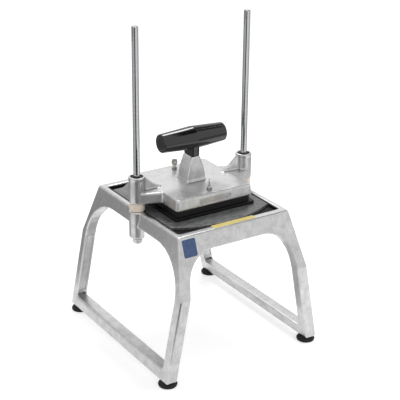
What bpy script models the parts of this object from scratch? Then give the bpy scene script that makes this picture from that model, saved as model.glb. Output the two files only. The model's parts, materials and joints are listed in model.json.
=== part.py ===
"""Hand-worked table-top vegetable slicer.

A cast stand on four rubber feet carries a blade frame with two layers of crossed
blades. Two steel rods rise from the stand, and a cast head slides on them. Its T-grip
drives a block of square pegs down between the blades. Metres, +Z up, the floor at
z = 0 and the middle of the blade opening above the origin. The front is towards -Y.
"""
import math

import bmesh
import bpy
from mathutils import Matrix, Vector

# Clearances
SEAT_GAP = 0.0003
SHAFT_GAP = 0.0003
TRAY_GAP = 0.0003

# Feet
FOOT_HEIGHT = 0.0077
FOOT_RADIUS = 0.0140
FOOT_SOLE_RADIUS = 0.0125
FOOT_NECK_RADIUS = 0.0092
FOOT_SHOULDER_RADIUS = 0.0121
FOOT_BULGE_HEIGHT = 0.0030
FOOT_SHOULDER_HEIGHT = 0.0056
FOOT_INSET_X = 0.0101
FOOT_INSET_Y = 0.0130
FOOT_RECESS_RADIUS = 0.0056
FOOT_RECESS_DEPTH = 0.0042
FOOT_SCREW_RADIUS = 0.0021
FOOT_SCREW_HEAD_RADIUS = 0.0047
FOOT_SCREW_HEAD_HEIGHT = 0.0026
FOOT_SCREW_HEAD_CHAMFER = 0.0010
FOOT_SCREW_REACH = 0.0110

# Stand casting
STAND_TOP_Z = 0.2126
STAND_BASE_Z = FOOT_HEIGHT + SEAT_GAP
KNEE_Z = 0.1308
TOP_HALF_WIDTH = 0.0939
TOP_HALF_DEPTH = 0.1141
BASE_HALF_WIDTH = 0.1325
KNEE_INSET = 0.0013
BASE_HALF_DEPTH = 0.1455
LEG_WIDTH = 0.0180
FRONT_LEG_DEPTH = 0.0172
REAR_LEG_DEPTH = 0.0145
SIDE_RAIL_WALL = 0.0084
END_RAIL_WALL = 0.0123
SIDE_RAIL_DEPTH = 0.0231
END_RAIL_DEPTH = 0.0245
BOTTOM_BAR_HEIGHT = 0.0165
END_ARCH_RADIUS = 0.0450
SIDE_ARCH_RADIUS = 0.0650
BAR_CORNER_RADIUS = 0.0040
OPENING_CORNER_RADIUS = 0.0035
CAST_EDGE_RADIUS = 0.0020
LEG_RECESS_WIDTH = 0.0110
LEG_RECESS_DEPTH = 0.0008
REAR_POCKET_WIDTH = 0.0126
REAR_POCKET_HEIGHT = 0.0024
REAR_POCKET_DEPTH = 0.0042

# Ledge inside the stand opening
LEDGE_DROP = 0.0116
LEDGE_THICKNESS = 0.0050
LEDGE_WIDTH = 0.0070

# Rod bosses of the stand
BOSS_RADIUS = 0.0119
BOSS_LENGTH = 0.0404
BOSS_CONE_LENGTH = 0.0035
BOSS_CONE_SWELL = 0.0004
BOSS_NUB_RADIUS = 0.0072
BOSS_NUB_LENGTH = 0.0078
BOSS_NUB_ROUNDING = 0.0030
BOSS_EDGE_CHAMFER = 0.0012
BOSS_PROUD = 0.0003

# Guide rods
TOTAL_HEIGHT = 0.4830
ROD_RADIUS = 0.0047625
ROD_INSET = 0.0012
ROD_SOCKET_DEPTH = 0.0350
ROD_FLAT_LENGTH = 0.0220
ROD_ACROSS_FLATS = 0.0079
ROD_CHAMFER = 0.0008

# Bumpers
BUMPER_RADIUS = 0.0115
BUMPER_HEIGHT = 0.0120
BUMPER_CHAMFER = 0.0008

# Insert tray
TRAY_SKIRT_HEIGHT = 0.0032
TRAY_FLOOR = 0.0030
TRAY_WALL = 0.0013
TRAY_RIM_DROP = 0.0012

# Blade frame
BLADE_OPENING = 0.0889
CELLS = 9
DECK_THICKNESS = 0.0039
DECK_FRONT_RADIUS = 0.1580
DECK_FRONT_FLAT = 0.0777
DECK_REAR_SHOULDER = 0.0885
DECK_REAR_NOTCH = 0.0150
DECK_REAR_HALF_EDGE = 0.0520
DECK_CORNER_RADIUS = 0.0040
FRAME_WALL = 0.0062
FRAME_HOLE_GAP = 0.0005
BLADE_HEIGHT = 0.0085
BLADE_THICKNESS = 0.0006
BLADE_EDGE_HEIGHT = 0.0016
BLADE_SEAT = 0.0035
BLADE_TOP_DROP = 0.0024

# Blade retainer and its screws
RETAINER_THICKNESS = 0.0027
RETAINER_SCREW_RADIUS = 0.0013
RETAINER_SCREW_HEAD_RADIUS = 0.0026
RETAINER_SCREW_HEAD_HEIGHT = 0.0015
RETAINER_SCREW_HEAD_CHAMFER = 0.0008
RETAINER_SCREW_REACH = 0.0080

# Head casting, measured up from the foot of its rod bosses
PLATE_HALF_WIDTH = 0.0649
PLATE_HALF_DEPTH = 0.0642
PLATE_DRAFT = 0.0014
PLATE_TOP = 0.0169
PLATE_THICKNESS = 0.0050
PLATE_RIM_WALL = 0.0050
PLATE_EDGE_RADIUS = 0.0026
PLATE_CORNER_RADIUS = 0.0040
ARM_HALF_WIDTH = 0.0230
ARM_TOP = 0.0164
ARM_EDGE_RADIUS = 0.0015
HEAD_BOSS_RADIUS = 0.0119
HEAD_BOSS_RIM_RADIUS = 0.0123
HEAD_BOSS_RIM_HEIGHT = 0.0035
HEAD_BOSS_CHAMFER = 0.0008
HEAD_BOSS_TOP = 0.0402
COUNTERBORE_RADIUS = 0.0093
COUNTERBORE_DEPTH = 0.0045
BUSHING_BORE_RADIUS = 0.0073
GUSSET_THICKNESS = 0.0060
GUSSET_TOP_DROP = 0.0025
GUSSET_TOE = 0.0520
GUSSET_SAG = 0.0015
NAME_RECESS_HALF_WIDTH = 0.0270
NAME_RECESS_HEIGHT = 0.0070
NAME_RECESS_DEPTH = 0.0010

# Pedestal of the head casting
PLINTH_HALF_WIDTH = 0.0163
PLINTH_HALF_DEPTH = 0.0146
PLINTH_HEIGHT = 0.0040
PLINTH_CHAMFER = 0.0010
PEDESTAL_BASE_HALF_WIDTH = 0.0157
PEDESTAL_BASE_HALF_DEPTH = 0.0140
PEDESTAL_TOP_HALF_WIDTH = 0.0066
PEDESTAL_TOP_HALF_DEPTH = 0.0122
PEDESTAL_TOP = 0.0554
PEDESTAL_CORNER_RADIUS = 0.0016
PEDESTAL_FLARE = 1.6

# T-grip
GRIP_AXIS_RISE = 0.0256
GRIP_HALF_LENGTH = 0.0534
GRIP_MIDDLE_RADIUS = 0.0171
GRIP_END_RADIUS = 0.0138
GRIP_END_ROUNDING = 0.0020
GRIP_DISH_RADIUS = 0.0104
GRIP_DISH_DEPTH = 0.0012
NECK_HALF_WIDTH = 0.0062
NECK_HALF_DEPTH = 0.0125
NECK_CORNER_RADIUS = 0.0016
NECK_CHAMFER = 0.0007
STUD_RADIUS = 0.0040
STUD_CHAMFER = 0.0008
STUD_IN_PEDESTAL = 0.0170
STUD_IN_GRIP = 0.0180

# Bushings
BUSHING_RADIUS = 0.0070
BUSHING_FLANGE_RADIUS = 0.0089
BUSHING_FLANGE_THICKNESS = 0.0014
BUSHING_LENGTH = 0.0130

# Pusher block
BLOCK_HALF_WIDTH = 0.0624
BLOCK_HALF_DEPTH = 0.0612
BLOCK_FLANGE_OUTSET = 0.0053
BLOCK_FLANGE_THICKNESS = 0.0042
BLOCK_DECK_GAP = 0.0006
BLOCK_CORNER_RADIUS = 0.0030
SPIGOT_HEIGHT = 0.0026
PEG_CLEARANCE = 0.0007
PEG_DRAFT = 0.0002
PEG_LENGTH = 0.0196
INSERT_RADIUS = 0.0045
INSERT_LENGTH = 0.0115

# Thumb screws
THUMB_OFFSET = 0.0475
THUMB_BOSS_RADIUS = 0.0075
THUMB_SHANK_RADIUS = 0.0025
THUMB_COLLAR_RADIUS = 0.0037
THUMB_COLLAR_HEIGHT = 0.0020
THUMB_CHAMFER = 0.0005
THUMB_NECK_RADIUS = 0.0026
THUMB_NECK_TAPER = 0.0005
THUMB_NECK_HEIGHT = 0.0022
THUMB_ROOT_WIDTH = 0.0048
THUMB_PADDLE_WIDTH = 0.0092
THUMB_PADDLE_TOP_WIDTH = 0.0079
THUMB_PADDLE_HEIGHT = 0.0098
THUMB_SHOULDER_HEIGHT = 0.0034
THUMB_PADDLE_THICKNESS = 0.0022
THUMB_CORNER_RADIUS = 0.0026
THUMB_DISH_RADIUS = 0.0033
THUMB_DISH_HEIGHT = 0.0057
THUMB_DISH_DEPTH = 0.0005
THUMB_REACH_IN_INSERT = 0.0060
WASHER_RADIUS = 0.0042
WASHER_THICKNESS = 0.0011
FRONT_PADDLE_TURN = math.radians(56.8)
REAR_PADDLE_TURN = math.radians(-26.0)

# Facets
ROUND_STEPS = 28
MIDDLE_ROUND_STEPS = 20
SMALL_ROUND_STEPS = 16
SCREW_STEPS = 10
ARCH_STEPS = 9
CORNER_STEPS = 3
PEDESTAL_STEPS = 7
DISH_STEPS = 2
SMOOTH_ANGLE = math.radians(35)
FLAT_ANGLE = math.radians(0.05)
MERGE_DISTANCE = 1e-6
ROUNDING_SHARE = 1 - math.sqrt(0.5)

# Levels and places worked out from the sizes above
KNEE_HALF_DEPTH = BASE_HALF_DEPTH - KNEE_INSET
LEG_SPREAD = (BASE_HALF_WIDTH - TOP_HALF_WIDTH) / (STAND_TOP_Z - STAND_BASE_Z)
OPENING_HALF_WIDTH = TOP_HALF_WIDTH - SIDE_RAIL_WALL
OPENING_HALF_DEPTH = TOP_HALF_DEPTH - END_RAIL_WALL
SIDE_ARCH_Z = STAND_TOP_Z - SIDE_RAIL_DEPTH
END_ARCH_Z = STAND_TOP_Z - END_RAIL_DEPTH
BAR_TOP_Z = STAND_BASE_Z + BOTTOM_BAR_HEIGHT
LEDGE_Z = STAND_TOP_Z - LEDGE_DROP
ROD_X = TOP_HALF_WIDTH - ROD_INSET
ROD_BOTTOM_Z = STAND_TOP_Z - ROD_SOCKET_DEPTH + SEAT_GAP
BOSS_TOP_Z = STAND_TOP_Z + BOSS_PROUD
BUMPER_Z = BOSS_TOP_Z + SEAT_GAP
HEAD_Z = BUMPER_Z + BUMPER_HEIGHT + SEAT_GAP
TRAY_Z = LEDGE_Z + SEAT_GAP
TRAY_FLOOR_TOP_Z = TRAY_Z + TRAY_SKIRT_HEIGHT + TRAY_FLOOR
TRAY_HALF_WIDTH = OPENING_HALF_WIDTH - TRAY_GAP
TRAY_HALF_DEPTH = OPENING_HALF_DEPTH - TRAY_GAP
DECK_Z = TRAY_FLOOR_TOP_Z + SEAT_GAP
DECK_TOP_Z = DECK_Z + DECK_THICKNESS
DECK_HALF_WIDTH = TRAY_HALF_WIDTH - TRAY_WALL - TRAY_GAP
DECK_HALF_DEPTH = TRAY_HALF_DEPTH - TRAY_WALL - TRAY_GAP
OPENING_HALF = BLADE_OPENING / 2
FRAME_HALF = OPENING_HALF + FRAME_WALL
PITCH = BLADE_OPENING / CELLS
UPPER_BLADE_Z = DECK_TOP_Z - BLADE_TOP_DROP - BLADE_HEIGHT
LOWER_BLADE_Z = UPPER_BLADE_Z - SEAT_GAP - BLADE_HEIGHT
FRAME_BOTTOM_Z = LOWER_BLADE_Z - SEAT_GAP
RETAINER_Z = FRAME_BOTTOM_Z - SEAT_GAP - RETAINER_THICKNESS
RETAINER_SCREW_PLACE = OPENING_HALF + FRAME_WALL / 2
BLOCK_BOTTOM = DECK_TOP_Z + BLOCK_DECK_GAP - HEAD_Z
FOOT_X = BASE_HALF_WIDTH - FOOT_INSET_X
FOOT_Y = BASE_HALF_DEPTH - FOOT_INSET_Y
SIDES = {"left": -1, "right": 1}
ENDS = {"front": -1, "rear": 1}


def clear_scene():
    for item in list(bpy.data.objects):
        bpy.data.objects.remove(item, do_unlink=True)


def finish(name, colour, roughness, metallic=0.0):
    """A plain surface in the colour of the real piece."""
    surface = bpy.data.materials.new(name)
    surface.use_nodes = True
    shader = surface.node_tree.nodes["Principled BSDF"]
    shader.inputs["Base Color"].default_value = (*colour, 1.0)
    shader.inputs["Roughness"].default_value = roughness
    shader.inputs["Metallic"].default_value = metallic
    return surface


def add_empty(name, place):
    anchor = bpy.data.objects.new(name, None)
    anchor.empty_display_size = 0.02
    anchor.location = place
    bpy.context.collection.objects.link(anchor)
    return anchor


def add_piece(name, bm, surface=None, parent=None, place=(0, 0, 0), turn=0.0):
    """Make a closed body into a named object, shaded smooth over its shallow edges."""
    bmesh.ops.remove_doubles(bm, verts=bm.verts, dist=MERGE_DISTANCE)
    bmesh.ops.recalc_face_normals(bm, faces=bm.faces)
    mesh = bpy.data.meshes.new(name)
    bm.to_mesh(mesh)
    bm.free()
    piece = bpy.data.objects.new(name, mesh)
    bpy.context.collection.objects.link(piece)
    piece.location = place
    piece.rotation_euler = (0, 0, turn)
    if parent:
        piece.parent = parent
    if surface:
        mesh.materials.append(surface)
    smooth(piece)
    return piece


def smooth(piece):
    piece.data.shade_smooth()
    piece.data.set_sharp_from_angle(angle=SMOOTH_ANGLE)


def settle(piece):
    """Take the mesh that the modifiers make as the piece's own mesh."""
    bpy.context.view_layer.update()
    evaluated = piece.evaluated_get(bpy.context.evaluated_depsgraph_get())
    mesh = bpy.data.meshes.new_from_object(evaluated)
    piece.modifiers.clear()
    worn = piece.data
    piece.data = mesh
    bpy.data.meshes.remove(worn)
    tidy = bmesh.new()
    tidy.from_mesh(mesh)
    bmesh.ops.remove_doubles(tidy, verts=tidy.verts, dist=MERGE_DISTANCE * 2)
    bmesh.ops.dissolve_limit(tidy, angle_limit=FLAT_ANGLE, verts=tidy.verts, edges=tidy.edges)
    tidy.to_mesh(mesh)
    tidy.free()
    smooth(piece)


def combine(piece, bm, operation):
    """Join a body to a piece, or cut the piece with it."""
    tool = add_piece("tool", bm)
    tool.parent = piece.parent
    tool.hide_render = True
    tool.display_type = "WIRE"
    step = piece.modifiers.new("combine", "BOOLEAN")
    step.operation = operation
    step.solver = "EXACT"
    step.object = tool
    settle(piece)
    bpy.data.objects.remove(tool, do_unlink=True)


def cut(piece, bm):
    combine(piece, bm, "DIFFERENCE")


def join(piece, bm):
    combine(piece, bm, "UNION")


def rounded(points, radii, steps):
    """A flat outline whose corners are arcs of the radii given."""
    outline = []
    count = len(points)
    for index in range(count):
        corner = Vector(points[index])
        radius = radii[index]
        if radius <= 0:
            outline.append(tuple(corner))
            continue
        back = (Vector(points[index - 1]) - corner).normalized()
        ahead = (Vector(points[(index + 1) % count]) - corner).normalized()
        half = back.angle(ahead) / 2
        centre = corner + (back + ahead).normalized() * radius / math.sin(half)
        start = corner + back * radius / math.tan(half) - centre
        end = corner + ahead * radius / math.tan(half) - centre
        turn = start.angle_signed(end)
        for step in range(steps + 1):
            share = turn * step / steps
            outline.append(tuple(centre + Matrix.Rotation(-share, 2) @ start))
    return outline


def rectangle(half_width, half_depth, radius, steps=CORNER_STEPS):
    corners = [
        (-half_width, -half_depth),
        (half_width, -half_depth),
        (half_width, half_depth),
        (-half_width, half_depth),
    ]
    return rounded(corners, [radius] * 4, steps)


def loft(sections):
    """A closed body through level outlines, each given as its height and its points."""
    bm = bmesh.new()
    rings = [[bm.verts.new((x, y, height)) for x, y in outline] for height, outline in sections]
    count = len(rings[0])
    for lower, upper in zip(rings, rings[1:]):
        for here in range(count):
            after = (here + 1) % count
            bm.faces.new((lower[here], lower[after], upper[after], upper[here]))
    bm.faces.new(reversed(rings[0]))
    bm.faces.new(rings[-1])
    return bm


def sweep(outline, across, start, end):
    """A flat outline drawn square to the across axis and swept along it."""
    places = {
        "X": lambda a, b: (start, a, b),
        "Y": lambda a, b: (a, start, b),
        "Z": lambda a, b: (a, b, start),
    }
    travel = {"X": Vector((1, 0, 0)), "Y": Vector((0, 1, 0)), "Z": Vector((0, 0, 1))}
    bm = bmesh.new()
    face = bm.faces.new([bm.verts.new(places[across](a, b)) for a, b in outline])
    swept = bmesh.ops.extrude_face_region(bm, geom=[face])
    moved = [item for item in swept["geom"] if isinstance(item, bmesh.types.BMVert)]
    bmesh.ops.translate(bm, verts=moved, vec=travel[across] * (end - start))
    return bm


def box(low, high):
    bm = bmesh.new()
    size = Vector(high) - Vector(low)
    centre = (Vector(high) + Vector(low)) / 2
    frame = Matrix.Translation(centre) @ Matrix.Diagonal((*size, 1.0))
    bmesh.ops.create_cube(bm, size=1.0, matrix=frame)
    return bm


def revolve(profile, steps=ROUND_STEPS, bored=False, place=(0, 0)):
    """A profile of radius and height, turned about the Z axis through the place."""
    bm = bmesh.new()
    verts = [bm.verts.new((radius, 0, height)) for radius, height in profile]
    edges = [bm.edges.new(pair) for pair in zip(verts, verts[1:])]
    if bored:
        edges.append(bm.edges.new((verts[-1], verts[0])))
    bmesh.ops.spin(
        bm, geom=verts + edges, cent=(0, 0, 0), axis=(0, 0, 1), angle=math.tau, steps=steps,
        use_merge=True,
    )
    bmesh.ops.remove_doubles(bm, verts=bm.verts, dist=MERGE_DISTANCE)
    bmesh.ops.translate(bm, verts=bm.verts, vec=(*place, 0))
    return bm


def rod_shape(radius, low, high, steps=SMALL_ROUND_STEPS, place=(0, 0)):
    return revolve([(0, low), (radius, low), (radius, high), (0, high)], steps, place=place)


def merge_bodies(bodies):
    """Several bodies in one mesh, for use as one cutter."""
    group = bmesh.new()
    for body in bodies:
        spare = bpy.data.meshes.new("spare")
        body.to_mesh(spare)
        body.free()
        group.from_mesh(spare)
        bpy.data.meshes.remove(spare)
    return group


def bevel_edges(piece, width, chosen, segments=2):
    """Round the sharp edges of a piece that the chooser picks."""
    bm = bmesh.new()
    bm.from_mesh(piece.data)
    bm.edges.ensure_lookup_table()
    picked = [
        edge for edge in bm.edges
        if edge.calc_face_angle(0) > SMOOTH_ANGLE and chosen(edge)
    ]
    bmesh.ops.bevel(
        bm, geom=picked, offset=width, segments=segments, profile=0.5, affect="EDGES",
        clamp_overlap=False,
    )
    bm.to_mesh(piece.data)
    bm.free()
    smooth(piece)


def outer_half_width(z):
    return TOP_HALF_WIDTH + LEG_SPREAD * (STAND_TOP_Z - z)


def outer_half_depth(z):
    """The ends slope out to the knee and run almost upright below it."""
    if z > KNEE_Z:
        share = (STAND_TOP_Z - z) / (STAND_TOP_Z - KNEE_Z)
        return TOP_HALF_DEPTH + (KNEE_HALF_DEPTH - TOP_HALF_DEPTH) * share
    share = (KNEE_Z - z) / (KNEE_Z - STAND_BASE_Z)
    return KNEE_HALF_DEPTH + (BASE_HALF_DEPTH - KNEE_HALF_DEPTH) * share


def stand_opening():
    """The space inside the rails, with the ledge that the tray rests on left standing."""
    under_ledge_z = LEDGE_Z - LEDGE_THICKNESS
    inner_knee_depth = KNEE_HALF_DEPTH - END_RAIL_WALL
    ledge_half_width = OPENING_HALF_WIDTH - LEDGE_WIDTH
    ledge_half_depth = OPENING_HALF_DEPTH - LEDGE_WIDTH
    levels = [
        (KNEE_Z, OPENING_HALF_WIDTH, inner_knee_depth),
        (under_ledge_z, OPENING_HALF_WIDTH, OPENING_HALF_DEPTH),
        (under_ledge_z, ledge_half_width, ledge_half_depth),
        (LEDGE_Z, ledge_half_width, ledge_half_depth),
        (LEDGE_Z, OPENING_HALF_WIDTH, OPENING_HALF_DEPTH),
        (STAND_TOP_Z + BOSS_RADIUS, OPENING_HALF_WIDTH, OPENING_HALF_DEPTH),
    ]
    return loft([(z, rectangle(x, y, OPENING_CORNER_RADIUS)) for z, x, y in levels])


def end_arch():
    """The opening under the front and rear rails, straight down between the legs."""
    low = STAND_BASE_Z - LEG_WIDTH
    foot = outer_half_width(low) - LEG_WIDTH
    shoulder = outer_half_width(END_ARCH_Z) - LEG_WIDTH
    corners = [(-foot, low), (foot, low), (shoulder, END_ARCH_Z), (-shoulder, END_ARCH_Z)]
    outline = rounded(corners, [0, 0, END_ARCH_RADIUS, END_ARCH_RADIUS], ARCH_STEPS)
    reach = BASE_HALF_DEPTH + LEG_WIDTH
    return sweep(outline, "Y", -reach, reach)


def side_window():
    """The opening in both side frames, above their bottom bars."""
    front = -(BASE_HALF_DEPTH - FRONT_LEG_DEPTH)
    rear = BASE_HALF_DEPTH - REAR_LEG_DEPTH
    corners = [(front, BAR_TOP_Z), (rear, BAR_TOP_Z), (rear, SIDE_ARCH_Z), (front, SIDE_ARCH_Z)]
    radii = [BAR_CORNER_RADIUS, BAR_CORNER_RADIUS, SIDE_ARCH_RADIUS, SIDE_ARCH_RADIUS]
    reach = BASE_HALF_WIDTH + LEG_WIDTH
    return sweep(rounded(corners, radii, ARCH_STEPS), "X", -reach, reach)


def leg_block(side, low, high, width, near, far):
    """A slanting block that follows the middle of a leg, cut into its inner wall."""
    bm = bmesh.new()
    bmesh.ops.create_cube(bm, size=1.0)
    for vert in bm.verts:
        z = low if vert.co.z < 0 else high
        middle = side * (outer_half_width(z) - LEG_WIDTH / 2)
        x = middle + vert.co.x * width
        y = near if vert.co.y < 0 else far
        vert.co = (x, y, z)
    return bm


def stand_boss(side):
    """Round boss under a rod, drawn in below to a rounded nub."""
    cone_z = STAND_TOP_Z - BOSS_LENGTH
    nub_z = cone_z - BOSS_CONE_LENGTH
    tip_z = nub_z - BOSS_NUB_LENGTH
    soft = BOSS_EDGE_CHAMFER
    middle_radius = (BOSS_NUB_RADIUS + BOSS_RADIUS) / 2 + BOSS_CONE_SWELL
    profile = [
        (0, tip_z),
        (BOSS_NUB_RADIUS - BOSS_NUB_ROUNDING, tip_z),
        (BOSS_NUB_RADIUS - BOSS_NUB_ROUNDING * ROUNDING_SHARE, tip_z + BOSS_NUB_ROUNDING * ROUNDING_SHARE),
        (BOSS_NUB_RADIUS, tip_z + BOSS_NUB_ROUNDING),
        (BOSS_NUB_RADIUS, nub_z),
        (middle_radius, (nub_z + cone_z) / 2),
        (BOSS_RADIUS, cone_z),
        (BOSS_RADIUS, BOSS_TOP_Z - soft),
        (BOSS_RADIUS - soft, BOSS_TOP_Z),
        (0, BOSS_TOP_Z),
    ]
    return revolve(profile, place=(side * ROD_X, 0))


def build_stand(surface):
    sections = []
    for z in (STAND_BASE_Z, KNEE_Z, STAND_TOP_Z):
        sections.append((z, rectangle(outer_half_width(z), outer_half_depth(z), 0)))
    stand = add_piece("stand_casting", loft(sections), surface)
    cut(stand, stand_opening())
    cut(stand, end_arch())
    cut(stand, side_window())

    def shows(edge):
        return any(on_outer_skin(face) for face in edge.link_faces)

    bevel_edges(stand, CAST_EDGE_RADIUS, shows)
    for side in SIDES.values():
        boss = add_piece("boss", stand_boss(side))
        cut(boss, stand_opening())
        body = bmesh.new()
        body.from_mesh(boss.data)
        bpy.data.objects.remove(boss, do_unlink=True)
        join(stand, body)
        socket_floor = STAND_TOP_Z - ROD_SOCKET_DEPTH
        rim = BOSS_TOP_Z + ROD_RADIUS
        cut(stand, rod_shape(ROD_RADIUS + SHAFT_GAP, socket_floor, rim, ROUND_STEPS, (side * ROD_X, 0)))
        cut_leg_details(stand, side)
    return stand


def on_outer_skin(face):
    """True for a face on the sloping sides, the sloping ends or the top of the stand."""
    centre = face.calc_center_median()
    near = MERGE_DISTANCE * 10
    if abs(centre.z - STAND_TOP_Z) < near:
        return True
    if abs(abs(centre.x) - outer_half_width(centre.z)) < near:
        return True
    return abs(abs(centre.y) - outer_half_depth(centre.z)) < near


def cut_leg_details(stand, side):
    """Core recesses in the legs, a pocket at the foot of the rear leg, and screw holes."""
    front_wall = -(BASE_HALF_DEPTH - FRONT_LEG_DEPTH)
    rear_wall = BASE_HALF_DEPTH - REAR_LEG_DEPTH
    recess_low = BAR_TOP_Z + BAR_CORNER_RADIUS + REAR_POCKET_HEIGHT * 2
    recess_high = SIDE_ARCH_Z - SIDE_ARCH_RADIUS
    proud = BAR_CORNER_RADIUS
    for wall, outward in ((front_wall, -1), (rear_wall, 1)):
        near = wall - outward * proud
        far = wall + outward * LEG_RECESS_DEPTH
        walls = sorted((near, far))
        cut(stand, leg_block(side, recess_low, recess_high, LEG_RECESS_WIDTH, *walls))
    pocket_low = BAR_TOP_Z + BAR_CORNER_RADIUS / 3
    pocket_high = pocket_low + REAR_POCKET_HEIGHT
    pocket_end = rear_wall + REAR_POCKET_DEPTH
    pocket = leg_block(
        side, pocket_low, pocket_high, REAR_POCKET_WIDTH, rear_wall - proud * 2, pocket_end
    )
    cut(stand, pocket)
    for end in ENDS.values():
        top = STAND_BASE_Z + FOOT_SCREW_REACH + SEAT_GAP
        place = (side * FOOT_X, end * FOOT_Y)
        cut(stand, rod_shape(FOOT_SCREW_RADIUS + SHAFT_GAP, STAND_BASE_Z - FOOT_HEIGHT, top, place=place))


def build_feet(rubber, steel):
    hole = FOOT_SCREW_RADIUS + SHAFT_GAP
    profile = [
        (FOOT_RECESS_RADIUS, 0),
        (FOOT_SOLE_RADIUS, 0),
        (FOOT_RADIUS, FOOT_BULGE_HEIGHT),
        (FOOT_SHOULDER_RADIUS, FOOT_SHOULDER_HEIGHT),
        (FOOT_NECK_RADIUS, FOOT_HEIGHT),
        (hole, FOOT_HEIGHT),
        (hole, FOOT_RECESS_DEPTH),
        (FOOT_RECESS_RADIUS, FOOT_RECESS_DEPTH),
    ]
    head_top = FOOT_RECESS_DEPTH - SEAT_GAP
    head_low = head_top - FOOT_SCREW_HEAD_HEIGHT
    screw = [
        (0, head_low),
        (FOOT_SCREW_HEAD_RADIUS - FOOT_SCREW_HEAD_CHAMFER, head_low),
        (FOOT_SCREW_HEAD_RADIUS, head_low + FOOT_SCREW_HEAD_CHAMFER),
        (FOOT_SCREW_HEAD_RADIUS, head_top),
        (FOOT_SCREW_RADIUS, head_top),
        (FOOT_SCREW_RADIUS, STAND_BASE_Z + FOOT_SCREW_REACH),
        (0, STAND_BASE_Z + FOOT_SCREW_REACH),
    ]
    for end_name, end in ENDS.items():
        for side_name, side in SIDES.items():
            corner = f"{end_name}_{side_name}"
            place = (side * FOOT_X, end * FOOT_Y, 0)
            foot = revolve(profile, SMALL_ROUND_STEPS, bored=True)
            add_piece(f"foot_{corner}", foot, rubber, place=place)
            add_piece(f"foot_screw_{corner}", revolve(screw, SCREW_STEPS), steel, place=place)


def build_rods(surface):
    """Ground rods with two spanner flats near the top."""
    length = TOTAL_HEIGHT - ROD_BOTTOM_Z
    profile = [
        (0, 0),
        (ROD_RADIUS - ROD_CHAMFER, 0),
        (ROD_RADIUS, ROD_CHAMFER),
        (ROD_RADIUS, length - ROD_CHAMFER),
        (ROD_RADIUS - ROD_CHAMFER, length),
        (0, length),
    ]
    for name, side in SIDES.items():
        place = (side * ROD_X, 0, ROD_BOTTOM_Z)
        rod = add_piece(f"guide_rod_{name}", revolve(profile), surface, place=place)
        settle(rod)
        for face in (-1, 1):
            near = rod.location.x + face * ROD_ACROSS_FLATS / 2
            far = near + face * ROD_RADIUS
            low = TOTAL_HEIGHT - ROD_FLAT_LENGTH
            high = TOTAL_HEIGHT + ROD_RADIUS
            cut(rod, box((min(near, far), -ROD_RADIUS * 2, low), (max(near, far), ROD_RADIUS * 2, high)))


def build_bumpers(surface):
    bore = ROD_RADIUS + SHAFT_GAP
    soft = BUMPER_CHAMFER
    profile = [
        (bore, 0),
        (BUMPER_RADIUS - soft, 0),
        (BUMPER_RADIUS, soft),
        (BUMPER_RADIUS, BUMPER_HEIGHT - soft),
        (BUMPER_RADIUS - soft, BUMPER_HEIGHT),
        (bore, BUMPER_HEIGHT),
    ]
    for name, side in SIDES.items():
        place = (side * ROD_X, 0, BUMPER_Z)
        add_piece(f"bumper_{name}", revolve(profile, bored=True), surface, place=place)


def build_tray(surface):
    """Moulded tray that drops into the stand opening and carries the blade frame."""
    radius = OPENING_CORNER_RADIUS - TRAY_GAP
    rim_top = STAND_TOP_Z - TRAY_RIM_DROP
    outer = rectangle(TRAY_HALF_WIDTH, TRAY_HALF_DEPTH, radius)
    tray = add_piece("insert_tray", loft([(TRAY_Z, outer), (rim_top, outer)]), surface)
    inside = rectangle(TRAY_HALF_WIDTH - TRAY_WALL, TRAY_HALF_DEPTH - TRAY_WALL, radius - TRAY_WALL)
    cut(tray, loft([(TRAY_FLOOR_TOP_Z, inside), (rim_top + TRAY_FLOOR, inside)]))
    under = loft([(TRAY_Z - TRAY_FLOOR, inside), (TRAY_Z + TRAY_SKIRT_HEIGHT, inside)])
    collar_half = FRAME_HALF + FRAME_HOLE_GAP + TRAY_WALL
    skirt = add_piece("under_side", under)
    collar = rectangle(collar_half, collar_half, DECK_CORNER_RADIUS)
    cut(skirt, loft([(TRAY_Z - TRAY_FLOOR * 2, collar), (TRAY_Z + TRAY_FLOOR * 2, collar)]))
    hollow = bmesh.new()
    hollow.from_mesh(skirt.data)
    bpy.data.objects.remove(skirt, do_unlink=True)
    cut(tray, hollow)
    hole_half = FRAME_HALF + FRAME_HOLE_GAP
    hole = rectangle(hole_half, hole_half, DECK_CORNER_RADIUS - TRAY_WALL)
    cut(tray, loft([(TRAY_Z - TRAY_FLOOR, hole), (rim_top, hole)]))


def deck_outline():
    """Bowed front edge between two short flats, and a rear edge with cut corners."""
    centre_y = DECK_FRONT_RADIUS - DECK_HALF_DEPTH
    flat_half = math.sqrt(DECK_FRONT_RADIUS ** 2 - (centre_y + DECK_FRONT_FLAT) ** 2)
    span = math.asin(flat_half / DECK_FRONT_RADIUS)
    points = [(-DECK_HALF_WIDTH, -DECK_FRONT_FLAT)]
    radii = [0]
    steps = ARCH_STEPS * 2
    for step in range(steps + 1):
        angle = -span + 2 * span * step / steps
        point = (DECK_FRONT_RADIUS * math.sin(angle), centre_y - DECK_FRONT_RADIUS * math.cos(angle))
        points.append(point)
        radii.append(DECK_CORNER_RADIUS if step in (0, steps) else 0)
    shoulder_x = DECK_REAR_HALF_EDGE + DECK_REAR_NOTCH
    points += [
        (DECK_HALF_WIDTH, -DECK_FRONT_FLAT),
        (DECK_HALF_WIDTH, DECK_REAR_SHOULDER),
        (shoulder_x, DECK_REAR_SHOULDER),
        (DECK_REAR_HALF_EDGE, DECK_HALF_DEPTH),
        (-DECK_REAR_HALF_EDGE, DECK_HALF_DEPTH),
        (-shoulder_x, DECK_REAR_SHOULDER),
        (-DECK_HALF_WIDTH, DECK_REAR_SHOULDER),
    ]
    radii += [0, 0, DECK_CORNER_RADIUS, DECK_CORNER_RADIUS, DECK_CORNER_RADIUS, DECK_CORNER_RADIUS, 0]
    return rounded(points, radii, CORNER_STEPS)


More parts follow.
